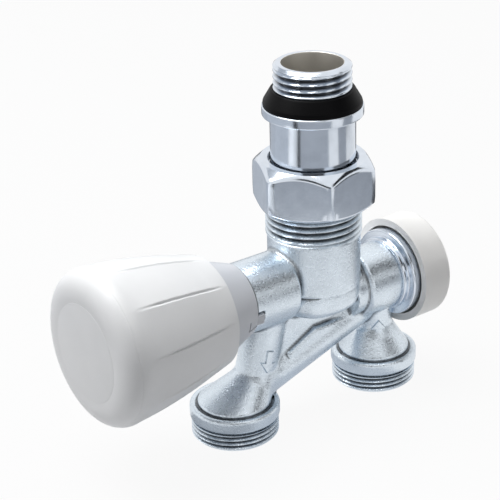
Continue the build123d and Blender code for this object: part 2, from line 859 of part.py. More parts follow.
def make_bypass_spindle():
    """Regulating screw with a hexagon socket in its outer end."""
    shoulder_x = sleeve_end_x + running_gap
    blank = about_x(
        bypass_axis_z,
        (shoulder_x - sleeve_plate_h, 0),
        (shoulder_x - sleeve_plate_h, bypass_tip_r),
        (shoulder_x, bypass_tip_r),
        (shoulder_x, bypass_stem_r),
        (bypass_screw_x, bypass_stem_r),
        (bypass_screw_x, bypass_screw_r),
        (bypass_screw_end_x, bypass_screw_r),
        (bypass_screw_end_x, bypass_stem_r),
        (bypass_end_x, bypass_stem_r),
        (bypass_end_x, 0),
    )
    socket = extrude(Plane.YZ * RegularPolygon(bypass_socket / 2, 6, major_radius=False), -bypass_socket_h)
    return blank - Pos(bypass_end_x, 0, bypass_axis_z) * socket


def make_protective_cap():
    """White cup with an inner ring that grips the bypass head's hub."""
    grip_start_x = bypass_flange_x + 3 * slip_gap
    grip_bore_r = bypass_hub_r + cap_grip_gap
    cup = about_x(
        bypass_axis_z,
        (cap_rim_x, cap_r - cap_wall),
        (cap_rim_x, cap_r),
        (cap_end_x, cap_r),
        (cap_end_x, 0),
        (cap_inner_x, 0),
        (cap_inner_x, grip_bore_r),
        (grip_start_x, grip_bore_r),
        (grip_start_x, cap_grip_r),
        (cap_inner_x, cap_grip_r),
        (cap_inner_x, cap_r - cap_wall),
    )
    end_face = cup.faces().sort_by(Axis.X)[-1]
    return fillet(end_face.outer_wire().edges(), cap_round)


pieces = {
    "valve_body": make_valve_body(),
    "tailpiece": make_tailpiece(),
    "radiator_seal": make_radiator_seal(),
    "tail_gasket": make_tail_gasket(),
    "nut_snap_ring": make_nut_snap_ring(),
    "union_nut": make_union_nut(),
    "bonnet": make_bonnet(),
    "bonnet_o_ring": face_o_ring(handwheel_axis_z, left_neck_x, -1, face_ring_r),
    "gland_nut": make_gland_nut(),
    "spindle_o_ring": make_spindle_o_ring(),
    "spindle": make_spindle(),
    "disc_holder": make_disc_holder(),
    "disc_washer": make_disc_washer(),
    "base_collar": make_base_collar(),
    "handwheel": make_handwheel(),
    "handwheel_disc": make_handwheel_disc(),
    "handwheel_screw": make_handwheel_screw(),
    "bypass_bonnet": make_bypass_bonnet(),
    "bypass_o_ring": face_o_ring(bypass_axis_z, right_neck_x, 1, bypass_seal_r()),
    "bypass_spindle_o_ring": make_bypass_spindle_o_ring(),
    "bypass_sleeve": make_bypass_sleeve(),
    "bypass_spindle": make_bypass_spindle(),
    "protective_cap": make_protective_cap(),
}

os.makedirs("parts", exist_ok=True)
for name, piece in pieces.items():
    export_step(Pos(origin_shift, 0, 0) * piece, f"parts/{name}.step")
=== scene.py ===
import math

import bpy
import numpy as np
from bpy.props import FloatProperty, FloatVectorProperty, IntProperty, PointerProperty
from mathutils import Matrix, Vector


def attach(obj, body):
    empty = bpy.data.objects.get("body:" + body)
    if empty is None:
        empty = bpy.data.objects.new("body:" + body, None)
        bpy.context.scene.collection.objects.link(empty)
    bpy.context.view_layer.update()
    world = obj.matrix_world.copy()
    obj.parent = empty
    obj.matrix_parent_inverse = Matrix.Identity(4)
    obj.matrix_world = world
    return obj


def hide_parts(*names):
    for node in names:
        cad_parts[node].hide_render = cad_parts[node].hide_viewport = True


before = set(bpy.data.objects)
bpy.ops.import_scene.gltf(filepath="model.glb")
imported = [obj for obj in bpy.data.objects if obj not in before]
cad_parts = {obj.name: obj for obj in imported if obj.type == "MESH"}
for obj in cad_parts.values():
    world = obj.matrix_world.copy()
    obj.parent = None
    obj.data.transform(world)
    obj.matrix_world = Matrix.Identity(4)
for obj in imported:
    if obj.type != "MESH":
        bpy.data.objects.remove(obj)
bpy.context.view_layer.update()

bl_info = {
    "name": "Radiator Valve Dressing",
    "version": (1, 0, 0),
    "blender": (4, 5, 0),
    "location": "View3D > Sidebar > Valve",
    "description": "Threads, moulded handwheel, flow arrows, finishes and a studio for a radiator valve",
    "category": "Object",
}

# Everything is drawn in millimetres in the frame of the part and becomes metres when a mesh is made.
MM = 0.001

# Places that the solids give
BARREL_X = 3.2
WHEEL_Z = 39.6
LEFT_FOOT_X = -25.0
RIGHT_FOOT_X = 25.0
BYPASS_Z = 31.7
FOOT_WALL = (12.0, 0.8, 5.1)
BARREL_WALL = (13.22, 52.7, 65.5)
TAIL_WALL = (10.478, 93.7, 99.8)
LEFT_LEG = ((-19.4, 0.0, 9.5), (-12.2, 0.0, 39.6))
RIGHT_LEG = ((25.0, 0.0, 9.5), (25.0, 0.0, 31.7))

# Forging: its box, the sloping duct, the web's and the ledge's outlines, and the feet's shoulders
FORGING_BOX = ((-38.4, -14.2, -1.0), (38.4, 14.2, 67.4))
DUCT = ((-18.8, 12.0), (18.2, 24.4))
WEB = ((-18.8, 12.0), (18.2, 24.4), (15.2, 39.6), (-12.2, 39.6))
SHELF = ((-9.3, 15.2), (18.2, 24.4), (18.2, 25.0), (0.0, 25.0), (-9.3, 20.0))
SHOULDER = (10.2, 16.5, 10.1, 5.0, 6.5)
SHOULDER_SINK = 0.2
SHOULDER_EDGE = 0.15
CONE_SLOPE = 0.75
LEFT_LEAN = 7.27

# Its round bars: both ends, radius and, where it shows, how far the edge is rounded
BARREL = (37.5, BARREL_WALL[1], 12.8, 0.4)
BARREL_CORE = (50.0, 66.37, 11.9)
CHAMBER = (30.2, 38.5, 12.2, 3.2)
LEFT_NECK = (-40.0, -8.3, 9.8, 1.3)
RIGHT_NECK = (16.5, 40.0, 9.7, 1.0)
BYPASS_BOSS = (12.7, 18.0, 8.4)
FOOT_CORE = (0.03, 9.0, 10.9)
FOOT_BAND = (5.6, 9.5, 12.4, 0.8)
FOOT_FLANGE = (6.0, 10.2, 10.1, 0.15)
LEFT_LEG_R = 5.6
RIGHT_LEG_R = 5.2
DUCT_R = 5.3

# Its flat sides: half width and rounded edge, and where the necks are cut off square
CHAMBER_SIDES = (10.6, 2.0)
WEB_SIDES = (3.1, 0.3)
SHELF_SIDES = (4.7, 1.2)
LEFT_NECK_CUT = -23.8
RIGHT_NECK_CUT = 27.4

# Widths over which its parts melt together
MELT = {
    "neck": 1.3, "chamber": 0.6, "boss": 1.0, "right_neck": 0.8, "shoulder": 1.8,
    "duct": 1.6, "web": 1.2, "shelf": 0.4, "legs": 0.9, "feet": 0.1,
}

# Its ways: both ends and radius of each bore, the tongue's notch and the feet's groove
BARREL_BORE = (36.2, 70.0, 10.0)
LEFT_BORES = ((-30.0, -10.4, 6.9), (-30.0, -19.8, 7.62), (-12.0, -4.8, 4.0))
RIGHT_BORES = ((15.4, 30.0, 6.8), (23.6, 30.0, 7.82))
SOCKET = (-5.0, 7.5, 8.0)
LEFT_WAY = ((LEFT_LEG[0][0], 7.0), (LEFT_LEG[1][0], WHEEL_Z), 3.6)
RIGHT_WAY = ((24.0, 6.0), (24.0, BYPASS_Z), 2.7)
NOTCH = (-21.1, 1.85, 8.95)
NOTCH_TURN = 103.0
FOOT_GROOVE = (10.5, 0.4, 9.1, 9.7)

# Painted shade in its creases: reach in mm, gain and limit, narrow and wide, and where the collar shades the
# neck
CREASE_SHADES = ((0.8, 9.0, 0.9), (2.6, 2.2, 0.4))
CREASE_SHADE_START = 0.08
NECK_SHADE = (-23.25, BYPASS_Z - 5.0)

# Threaded rings: inner radius, and place and radius of the chamfered end
FOOT_RING = (10.4, (0.0, 11.2))
BARREL_RING = (11.4, (66.4, 12.32))
RING_LIP = 0.3
THREAD_MARGIN = 0.06
THREAD_RUN_IN = 0.45
THREAD_RUN_OUT = 0.3
ON_WALL = 0.01

# Flow arrows: shares of their length, margin round them, softness of their edge and depth below the leg
ARROW_WIDTH = 0.36
ARROW_HEAD = 0.45
ARROW_MARGIN = 0.4
ARROW_SOFT = 0.25
ARROW_SINK = 0.08
ARROW_ROOT = 0.5

# Corners of turned pieces: place along the axis, radius and how far the corner is rounded
TAIL_CORNERS = (
    (67.6, 8.3, 0.1), (67.6, 12.2, 0.15), (70.2, 12.2, 0.15), (70.2, 11.5, 0.1), (86.4, 11.5, 0.25),
    (86.4, 13.6, 0.35), (89.0, 13.6, 0.35), (89.0, 9.7, 0.1), (93.7, 9.7, 0.1),
    (93.7, 10.478, 0.05), (99.8, 10.478, 0.05), (100.5, 9.65, 0.2), (100.5, 8.3, 0.2),
)
TAIL_THREAD_CORNER = 9
SEAL_CORNERS = (
    (89.0, 9.75, 0.1), (89.0, 13.35, 0.35), (90.1, 13.2, 0.3), (93.5, 11.2, 0.4), (93.5, 9.75, 0.1),
)
NUT_BORE_CORNERS = (
    (74.1, 12.3, 0.12), (71.7, 12.3, 0.05), (71.7, 13.34, 0.05), (70.25, 13.34, 0.05),
    (70.25, 12.65, 0.05), (69.95, 12.65, 0.05), (69.95, 13.34, 0.05), (60.7, 13.34, 0.2),
)
BYPASS_HEAD_CORNERS = (
    (24.0, 3.55, 0.05), (24.0, 7.7, 0.2), (27.4, 7.7, 0.05), (27.4, 10.5, 0.4), (29.2, 10.5, 0.4),
    (29.2, 12.6, 0.6), (31.9, 12.6, 0.5), (31.9, 8.6, 0.1), (36.7, 8.6, 0.3), (36.7, 2.95, 0.1),
    (34.8, 2.95, 0.05), (34.8, 4.2, 0.05), (33.2, 4.2, 0.05), (33.2, 2.95, 0.05),
    (32.2, 2.95, 0.05), (32.2, 3.55, 0.05),
)
NUT_FLATS = 30.0
NUT_TURN = 7.4
NUT_TOP = (74.1, 14.3, 2.7)
NUT_BOTTOM = (60.7, 14.6, 1.5)
NUT_CORNER_R = NUT_FLATS / 2 / math.cos(math.pi / 6)

# Outline of the handwheel's outside and inside: place along X and radius
WHEEL_BACK = (-33.6, 15.5)
WHEEL_MIDDLE = (-48.8, 19.35)
WHEEL_WIDEST = (-63.8, 21.2)
WHEEL_FRONT = (-70.4, 14.2)
WHEEL_NOSE_PULL = 0.65
WHEEL_NOSE_SWELL = 0.3
WHEEL_INSIDE = (
    (-70.4, 13.22, 0.03), (-68.4, 13.22, 0.05), (-68.4, 3.6, 0.1), (-61.0, 3.6, 0.1),
    (-61.0, 1.75, 0.05), (-51.3, 1.75, 0.05), (-51.3, 4.3, 0.05), (-41.3, 4.3, 0.2),
    (-41.3, 6.0, 0.2), (-66.2, 6.0, 0.4), (-66.2, 17.0, 0.8), (-63.8, 19.9, 0.6),
    (-33.6, 14.3, 0.15),
)
WHEEL_LOBES = 10
WHEEL_GROOVE_TURN = 43.0
LOBE_FADE = 8.0
LOBE_RISE = 5.0
LOBE_AT_RIM = 0.35
SEAM_HALF_WIDTH = 0.35
GROOVE_START = 1.6
GROOVE_END = 3.0
CORNER_SAMPLES = 5

COLOUR = {"subtype": "COLOR"}
SHARE = {"subtype": "FACTOR"}
WHITE = (1.0, 1.0, 1.0, 1.0)
# Dark colour of the painted shade in thread roots and creases
PAINTED_SHADE_COLOUR = (0.01, 0.01, 0.012, 1.0)
TAIL_BORE_R = (8.45, 8.40)


class ValveThreads(bpy.types.PropertyGroup):
    """Sizes of the screw threads."""

    radiator_pitch: FloatProperty(
        name="Radiator pitch", description="Rise of the tail's thread, mm", default=1.814
    )
    barrel_pitch: FloatProperty(
        name="Barrel pitch", description="Rise of the barrel's thread, mm", default=1.814
    )
    pipe_pitch: FloatProperty(name="Pipe pitch", description="Rise of the feet's threads, mm", default=1.337)
    depth_share: FloatProperty(
        name="Depth", description="Depth as a share of the pitch", default=0.6, **SHARE
    )
    flat_share: FloatProperty(
        name="Flats", description="Share of the flank lost to flats", default=0.16, **SHARE
    )
    turn_steps: IntProperty(name="Steps per turn", description="Points round a turned piece", default=180)
    pitch_steps: IntProperty(name="Steps per pitch", description="Points along one pitch", default=14)


class ValveMoulding(bpy.types.PropertyGroup):
    """Shape of the handwheel's moulded side, of the flow arrows and of the forging's grid."""

    groove_depth: FloatProperty(name="Groove depth", description="Groove between two lobes, mm", default=0.55)
    groove_width: FloatProperty(name="Groove width", description="Half width of the groove, mm", default=0.5)
    lobe_flatness: FloatProperty(
        name="Lobe flatness", description="Share from round to flat", default=0.55, **SHARE
    )
    seam_place: FloatProperty(name="Seam place", description="Front seam from the back rim, mm", default=33.2)
    seam_depth: FloatProperty(name="Seam depth", description="Depth of the front seam, mm", default=0.14)
    arrow_length: FloatProperty(name="Arrow length", description="Length of a flow arrow, mm", default=6.4)
    arrow_height: FloatProperty(name="Arrow height", description="Height of a flow arrow, mm", default=0.65)
    forging_step: FloatProperty(name="Forging step", description="Grid step of the forging, mm", default=0.4)


class ValveFinish(bpy.types.PropertyGroup):
    """Colours of the finishes."""

    forging: FloatVectorProperty(
        name="Forging", description="Blasted nickel", default=(0.70, 0.77, 0.835), **COLOUR
    )
    bright: FloatVectorProperty(
        name="Bright nickel", description="Turned nickel", default=(0.69, 0.745, 0.82), **COLOUR
    )
    bore: FloatVectorProperty(
        name="Bore", description="Drawn bore of the tail", default=(0.66, 0.64, 0.60), **COLOUR
    )
    brass: FloatVectorProperty(name="Brass", description="Inner works", default=(0.74, 0.56, 0.26), **COLOUR)
    steel: FloatVectorProperty(
        name="Steel", description="Screw and spindle", default=(0.62, 0.63, 0.65), **COLOUR
    )
    rubber: FloatVectorProperty(name="Rubber", description="Seals", default=(0.003, 0.003, 0.0035), **COLOUR)
    wheel: FloatVectorProperty(
        name="Handwheel", description="Glossy white", default=(0.80, 0.81, 0.82), **COLOUR
    )
    collar: FloatVectorProperty(name="Collar", description="Light grey", default=(0.60, 0.62, 0.66), **COLOUR)
    cap: FloatVectorProperty(name="Cap", description="Warm white", default=(0.92, 0.915, 0.90), **COLOUR)


class ValveStudio(bpy.types.PropertyGroup):
    """Camera and light."""

    azimuth: FloatProperty(name="Azimuth", description="Turn of the camera, degrees", default=-38.523)
    elevation: FloatProperty(name="Elevation", description="Height of the camera, degrees", default=24.576)
    roll: FloatProperty(name="Roll", description="Roll of the camera, degrees", default=-0.496)
    distance: FloatProperty(name="Distance", description="From the camera to its target, mm", default=446.911)
    lens: FloatProperty(name="Lens", description="Focal length", default=117.689, unit="CAMERA")
    shift_x: FloatProperty(name="Shift X", description="Sideways lens shift", default=-0.12767)
    shift_y: FloatProperty(name="Shift Y", description="Upward lens shift", default=-0.02438)
    floor: FloatVectorProperty(name="Floor", description="Lit floor", default=(0.55, 0.55, 0.56), **COLOUR)
    ambient: FloatProperty(name="Ambient", description="Strength of the surrounding light", default=0.08)


# Outlines and surfaces


def rounded(corners, samples=CORNER_SAMPLES):
    """Outline with rounded corners: corner P becomes the quadratic Bezier curve from P - d u over P to
    P + d v, where u and v are the unit runs into and out of the corner and d is its rounding."""
    table = np.asarray(corners, float)
    point, reach = table[:, None, :2], table[:, None, 2:]
    run = np.roll(table[:, :2], -1, axis=0) - table[:, :2]
    run = (run / np.linalg.norm(run, axis=1, keepdims=True))[:, None]
    start = point - reach * np.roll(run, 1, axis=0)
    end = point + reach * run
    t = np.linspace(0.0, 1.0, samples)[None, :, None]
    curve = (1 - t) ** 2 * start + 2 * t * (1 - t) * point + t**2 * end
    return curve.reshape(-1, 2)


def ring_quads(rows, columns, closed):
    """Quads of a grid that closes round its columns, and round its rows too if it is closed."""
    row, column = np.meshgrid(np.arange(rows if closed else rows - 1), np.arange(columns), indexing="ij")
    below = (row + 1) % rows
    beside = (column + 1) % columns
    row, below = row * columns, below * columns
    return np.stack((row + column, row + beside, below + beside, below + column), axis=-1).reshape(-1, 4)


def turned_z(along, radius, angle):
    """Points (BARREL_X + r cos a, r sin a, z) of a surface turned about the barrel's axis."""
    height = np.broadcast_to(along, radius.shape)
    return np.stack((BARREL_X + radius * np.cos(angle), radius * np.sin(angle), height), axis=-1)


def turned_x(along, radius, angle):
    """Points (x, -r sin a, WHEEL_Z + r cos a) of a surface turned about the handwheel's axis."""
    place = np.broadcast_to(along, radius.shape)
    return np.stack((place, -radius * np.sin(angle), WHEEL_Z + radius * np.cos(angle)), axis=-1)


def round_angles(steps):
    """One turn in equal steps."""
    return np.linspace(0.0, 2 * math.pi, steps, endpoint=False)[None, :]


def thread_cut(height, angle, wall, pitch, threads):
    """Depth cut by a right-hand thread: a triangle wave of (z / pitch - a / 2 pi) with flats cut off its
    crests and roots, times a fade from 0 to 1 over part of a pitch at both ends of the wall."""
    phase = height / pitch - angle / (2 * math.pi)
    wave = 1 - np.abs(2 * (phase - np.floor(phase)) - 1)
    wave = np.clip((wave - threads.flat_share) / (1 - 2 * threads.flat_share), 0.0, 1.0)
    run_in = np.clip((height - wall[1]) / (THREAD_RUN_IN * pitch), 0.0, 1.0)
    run_out = np.clip((wall[2] - height) / (THREAD_RUN_OUT * pitch), 0.0, 1.0)
    return threads.depth_share * pitch * wave * (run_in * run_out)


def wall_rows(wall, pitch, threads):
    """Place and radius of the rows up a threaded wall."""
    rows = int((wall[2] - wall[1]) / pitch * threads.pitch_steps)
    heights = np.linspace(wall[1] + THREAD_MARGIN, wall[2] - THREAD_MARGIN, rows)
    return np.stack((heights, np.full(rows, wall[0])), axis=-1)


def threaded(outline, wall, pitch, threads):
    """Turned surface with a thread in its wall: P(z, a) = (BARREL_X + (r - cut) cos a, (r - cut) sin a, z).
    Gives its points and how deep they lie in the thread, from 0 to 1."""
    along, radius = outline[:, :1], outline[:, 1:]
    angle = round_angles(threads.turn_steps)
    on_wall = np.abs(radius - wall[0]) < ON_WALL
    depth = np.where(on_wall, thread_cut(along, angle, wall, pitch, threads), 0.0)
    return turned_z(along, radius - depth, angle), depth.ravel() / (threads.depth_share * pitch)


def outward(points, faces):
    """The faces, turned round if their signed volume, the sum of p0 . (p1 x p2), is negative."""
    fan = np.concatenate([faces[:, [0, k, k + 1]] for k in range(1, faces.shape[1] - 1)])
    a, b, c = (points[fan[:, k]] for k in range(3))
    volume = np.einsum("ij,ij->", a, np.cross(b, c))
    return faces if volume > 0 else faces[:, ::-1]


def make_mesh(name, points, face_groups, sharp_degrees, groove=None):
    """Mesh in metres from points in millimetres and groups of faces with equal corner counts. In threads and
    creases, the points keep how deep they lie, from 0 to 1, which the finishes turn into painted shade."""
    mesh = bpy.data.meshes.new(name)
    corners = np.concatenate([group.ravel() for group in face_groups])
    sizes = np.concatenate([np.full(len(group), group.shape[1]) for group in face_groups])
    mesh.vertices.add(len(points))
    mesh.vertices.foreach_set("co", (points * MM).astype(np.float32).ravel())
    mesh.loops.add(len(corners))
    mesh.loops.foreach_set("vertex_index", corners.astype(np.int32))
    mesh.polygons.add(len(sizes))
    mesh.polygons.foreach_set("loop_start", (np.cumsum(sizes) - sizes).astype(np.int32))
    mesh.update(calc_edges=True)
    mesh.validate()
    mesh.shade_smooth()
    mesh.set_sharp_from_angle(angle=math.radians(sharp_degrees))
    if groove is not None:
        kept = mesh.attributes.new("groove", "FLOAT", "POINT")
        kept.data.foreach_set("value", groove.astype(np.float32))
    return mesh


def new_object(name, data):
    """Object with this data in the scene."""
    made = bpy.data.objects.new(name, data)
    bpy.context.scene.collection.objects.link(made)
    return made


def make_piece(name, mesh, finish, body, slot, *nodes):
    """Object at the origin that rides on a body, takes a finish and stands for CAD nodes. The slot is not
    used.
    """
    mesh.materials.append(finish)
    piece = new_object(name, mesh)
    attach(piece, body)
    if nodes:
        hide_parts(*nodes)


def make_ring(name, points, finish, body, slot, *nodes, sharp_degrees=32, groove=None):
    """Piece from a closed grid of points."""
    rows, columns = points.shape[:2]
    flat = points.reshape(-1, 3)
    faces = outward(flat, ring_quads(rows, columns, True))
    mesh = make_mesh(name, flat, [faces], sharp_degrees, groove)
    make_piece(name, mesh, finish, body, slot, *nodes)


# Finishes


class Nodes:
    """Small helper that adds nodes to a material or a world and links them."""

    def __init__(self, owner):
        owner.use_nodes = True
        self.owner = owner
        self.tree = owner.node_tree
        self.shader = self.tree.nodes.get("Principled BSDF")

    def add(self, kind, inputs=None, **settings):
        node = self.tree.nodes.new(kind)
        for key, value in settings.items():
            setattr(node, key, value)
        for key, value in (inputs or {}).items():
            self.feed(node.inputs[key], value)
        return node

    def feed(self, socket, value):
        if isinstance(value, bpy.types.NodeSocket):
            self.tree.links.new(value, socket)
        else:
            socket.default_value = value

    def place(self):
        """The piece's own coordinates."""
        return self.add("ShaderNodeTexCoord").outputs["Object"]

    def seen(self):
        """1 for the rays of the camera, of reflections and of transmission, 0 for the rest."""
        path = self.add("ShaderNodeLightPath").outputs
        rays = path["Is Camera Ray"]
        for kind in ("Is Glossy Ray", "Is Transmission Ray"):
            rays = self.add("ShaderNodeMath", {0: rays, 1: path[kind]}, operation="MAXIMUM").outputs["Value"]
        return rays

    def noise(self, size_mm, detail=2.0, roughness=0.5):
        """Noise on the piece's own coordinates with features of about that size."""
        inputs = {"Vector": self.place(), "Scale": 1.0 / (size_mm * MM)}
        inputs.update({"Detail": detail, "Roughness": roughness})
        return self.add("ShaderNodeTexNoise", inputs).outputs["Fac"]

    def ramp(self, value, start, end, low, high):
        """A value that runs from start to end, mapped to the range from low to high."""
        inputs = {"Value": value, "From Min": start, "From Max": end, "To Min": low, "To Max": high}
        return self.add("ShaderNodeMapRange", inputs).outputs["Result"]

    def spread(self, value, low, high):
        """The middle of a noise mapped to a range."""
        return self.ramp(value, 0.3, 0.7, low, high)

    def blend(self, share, first, second):
        """Colour between two colours."""
        node = self.add("ShaderNodeMix", data_type="RGBA")
        self.feed(node.inputs["Factor"], share)
        self.feed(node.inputs[6], first)
        self.feed(node.inputs[7], second)
        return node.outputs[2]

    def painted_groove_shade(self, colour):
        """Colour with painted shade, which darkens it towards the roots of threads and into creases, where
        shade falls.
        """
        depth = self.add("ShaderNodeAttribute", attribute_name="groove").outputs["Fac"]
        return self.blend(self.ramp(depth, 0.2, 1.0, 0.0, 0.92), colour, PAINTED_SHADE_COLOUR)

    def mottle(self, share, colour, low, high):
        """Colour that wanders between a darker and a lighter tone."""
        return self.blend(share, tone(colour, low), tone(colour, high))

    def bump(self, height, depth_mm, strength):
        """Bump of a height that ranges from 0 to 1."""
        inputs = {"Height": height, "Strength": strength, "Distance": depth_mm * MM}
        return self.add("ShaderNodeBump", inputs).outputs["Normal"]

    def coat(self, base, roughness, **more):
        """The material, with its shader's inputs fed."""
        for key, value in {"Base Color": base, "Roughness": roughness, **more}.items():
            self.feed(self.shader.inputs[key], value)
        return self.owner


def material_nodes(name):
    """Nodes of a new material."""
    return Nodes(bpy.data.materials.new(name))


def tone(colour, factor):
    """Colour with its brightness changed, as four numbers."""
    return tuple(min(channel * factor, 1.0) for channel in colour) + (1.0,)


def blasted_nickel(name, colour):
    """Sand-blasted nickel on a forging: fine pits, a tone that wanders slowly, roughness that wanders, and
    painted shade in creases and thread roots.
    """
    nodes = material_nodes(name)
    cloud = nodes.noise(6.0, detail=3.0)
    grain = nodes.noise(0.65, detail=3.0, roughness=0.6)
    base = nodes.painted_groove_shade(nodes.mottle(nodes.spread(cloud, 0.0, 1.0), colour, 0.94, 1.05))
    gloss = nodes.spread(grain, 0.24, 0.36)
    return nodes.coat(base, gloss, Metallic=1.0, Normal=nodes.bump(grain, 0.13, 0.9))


def bright_nickel(name, colour, bore=None):
    """Polished nickel with faint turning marks; the tail's bore goes over to a duller drawn wall, and the
    tail's thread roots get painted shade.
    """
    nodes = material_nodes(name)
    cloud, marks = nodes.noise(4.0), nodes.noise(0.4)
    base = nodes.mottle(nodes.spread(cloud, 0.0, 1.0), colour, 0.95, 1.04)
    gloss = nodes.spread(marks, 0.13, 0.20)
    if bore is not None:
        centre = {"Vector": nodes.place(), "Location": (-BARREL_X * MM, 0.0, 0.0), "Scale": (1.0, 1.0, 0.0)}
        flat = nodes.add("ShaderNodeMapping", centre).outputs["Vector"]
        radius = nodes.add("ShaderNodeVectorMath", {0: flat}, operation="LENGTH").outputs["Value"]
        share = nodes.ramp(radius, TAIL_BORE_R[0] * MM, TAIL_BORE_R[1] * MM, 0.0, 1.0)
        base = nodes.painted_groove_shade(nodes.blend(share, base, tone(bore, 1.0)))
        gloss = nodes.ramp(share, 0.0, 1.0, 0.16, 0.42)
    return nodes.coat(base, gloss, Metallic=1.0, Normal=nodes.bump(marks, 0.01, 0.25))


def turned_metal(name, colour, roughness):
    """Plain turned metal of the inner works with a fine grain."""
    nodes = material_nodes(name)
    grain = nodes.noise(0.3)
    gloss = nodes.spread(grain, roughness - 0.05, roughness + 0.07)
    base = nodes.mottle(nodes.noise(3.0), colour, 0.9, 1.08)
    return nodes.coat(base, gloss, Metallic=1.0, Normal=nodes.bump(grain, 0.01, 0.3))


def moulded(name, colour, roughness, texture_mm, depth_mm, shine=0.5):
    """Moulded plastic or rubber: slow tint changes, a little flow texture and gloss that wanders."""
    nodes = material_nodes(name)
    skin = nodes.noise(texture_mm)
    base = nodes.mottle(nodes.spread(nodes.noise(9.0), 0.0, 1.0), colour, 0.985, 1.015)
    gloss = nodes.spread(skin, roughness - 0.03, roughness + 0.04)
    return nodes.coat(base, gloss, Normal=nodes.bump(skin, depth_mm, 0.3), **{"Specular IOR Level": shine})


def finish(name):
    """Finish by name, made once."""
    made = bpy.data.materials.get(name)
    if made:
        return made
    colours = bpy.context.scene.valve_finish
    makers = {
        "blasted_nickel": (blasted_nickel, colours.forging),
        "bright_nickel": (bright_nickel, colours.bright),
        "tail_nickel": (bright_nickel, colours.bright, colours.bore),
        "turned_brass": (turned_metal, colours.brass, 0.28),
        "turned_steel": (turned_metal, colours.steel, 0.24),
        "seal_rubber": (moulded, colours.rubber, 0.40, 0.5, 0.01, 0.06),
        "wheel_white": (moulded, colours.wheel, 0.36, 3.0, 0.01, 0.4),
        "collar_grey": (moulded, colours.collar, 0.38, 0.8, 0.008),
        "cap_white": (moulded, colours.cap, 0.34, 1.0, 0.01),
    }
    maker, *values = makers[name]
    return maker(name, *values)


def paint(finish_name, *nodes):
    """Gives CAD nodes a finish."""
    for node in nodes:
        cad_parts[node].material_slots[0].material = finish(finish_name)


# Forged body


def melt(first, second, width):
    """Joins two fields with a hollow between them: the lesser one, less (width - |difference|)^2 / (4 width)
    where the two are closer together than the width."""
    near = np.maximum(width - np.abs(first - second), 0.0)
    return np.minimum(first, second) - near**2 / (4 * width)


def trim(first, second, edge):
    """Common part of two fields with its edge rounded: the length of the positive parts of (field + edge),
    less the edge, and the larger field inside."""
    a, b = first + edge, second + edge
    outside = np.sqrt(np.maximum(a, 0.0) ** 2 + np.maximum(b, 0.0) ** 2)
    return outside + np.minimum(np.maximum(a, b), 0.0) - edge


def level_bar(place, axis_z, x_from, x_to, radius, edge=0.05):
    """Field of a round bar along X."""
    x, y, z = place
    return trim(np.hypot(y, z - axis_z) - radius, np.maximum(x_from - x, x - x_to), edge)


def upright_bar(place, axis_x, z_from, z_to, radius, edge=0.05):
    """Field of a round bar along Z."""
    x, y, z = place
    return trim(np.hypot(x - axis_x, y) - radius, np.maximum(z_from - z, z - z_to), edge)


def leaning_bar(place, start, end, radius):
    """Field of a round bar in the plane y = 0: distance from the line between its ends, less the radius."""
    x, y, z = place
    run_x, run_z = end[0] - start[0], end[1] - start[1]
    share = ((x - start[0]) * run_x + (z - start[1]) * run_z) / (run_x**2 + run_z**2)
    share = np.clip(share, 0.0, 1.0)
    return np.sqrt((x - start[0] - share * run_x) ** 2 + y**2 + (z - start[1] - share * run_z) ** 2) - radius


def flat_plate(place, outline, half_width, edge):
    """Field of a plate with a convex outline in the plane y = 0: the largest distance past its sides."""
    x, y, z = place
    corner = np.asarray(outline, float)
    run = np.roll(corner, -1, axis=0) - corner
    out = np.stack((run[:, 1], -run[:, 0]), axis=-1) / np.linalg.norm(run, axis=1, keepdims=True)
    past = [(x - p[0]) * n[0] + (z - p[1]) * n[1] for p, n in zip(corner, out)]
    return trim(np.maximum.reduce(np.broadcast_arrays(*past)), np.abs(y) - half_width, edge)


def shoulder(place, foot_x, lean):
    """Field of a foot's shoulder: the common part of two leaning cones, each with a circle whose middle and
    radius run evenly from the flange to the top, which meet in a ridge."""
    x, y, z = place
    low, high, flange_r, half_width, half_length = SHOULDER
    spread = (half_length**2 - half_width**2) / (2 * half_width)
    share = (z - low) / (high - low)
    radius = flange_r + share * (half_width + spread - flange_r)
    cones = [np.hypot(x - foot_x - share * lean, y - side * share * spread) - radius for side in (1, -1)]
    return trim(CONE_SLOPE * np.maximum(*cones), np.maximum(low - SHOULDER_SINK - z, z - high), SHOULDER_EDGE)


def foot_field(place, foot_x):
    """Field of a foot's core, band and flange; the threaded ring is put round the core."""
    core, band, flange = (upright_bar(place, foot_x, *bar) for bar in (FOOT_CORE, FOOT_BAND, FOOT_FLANGE))
    return np.minimum(np.minimum(core, band), flange)


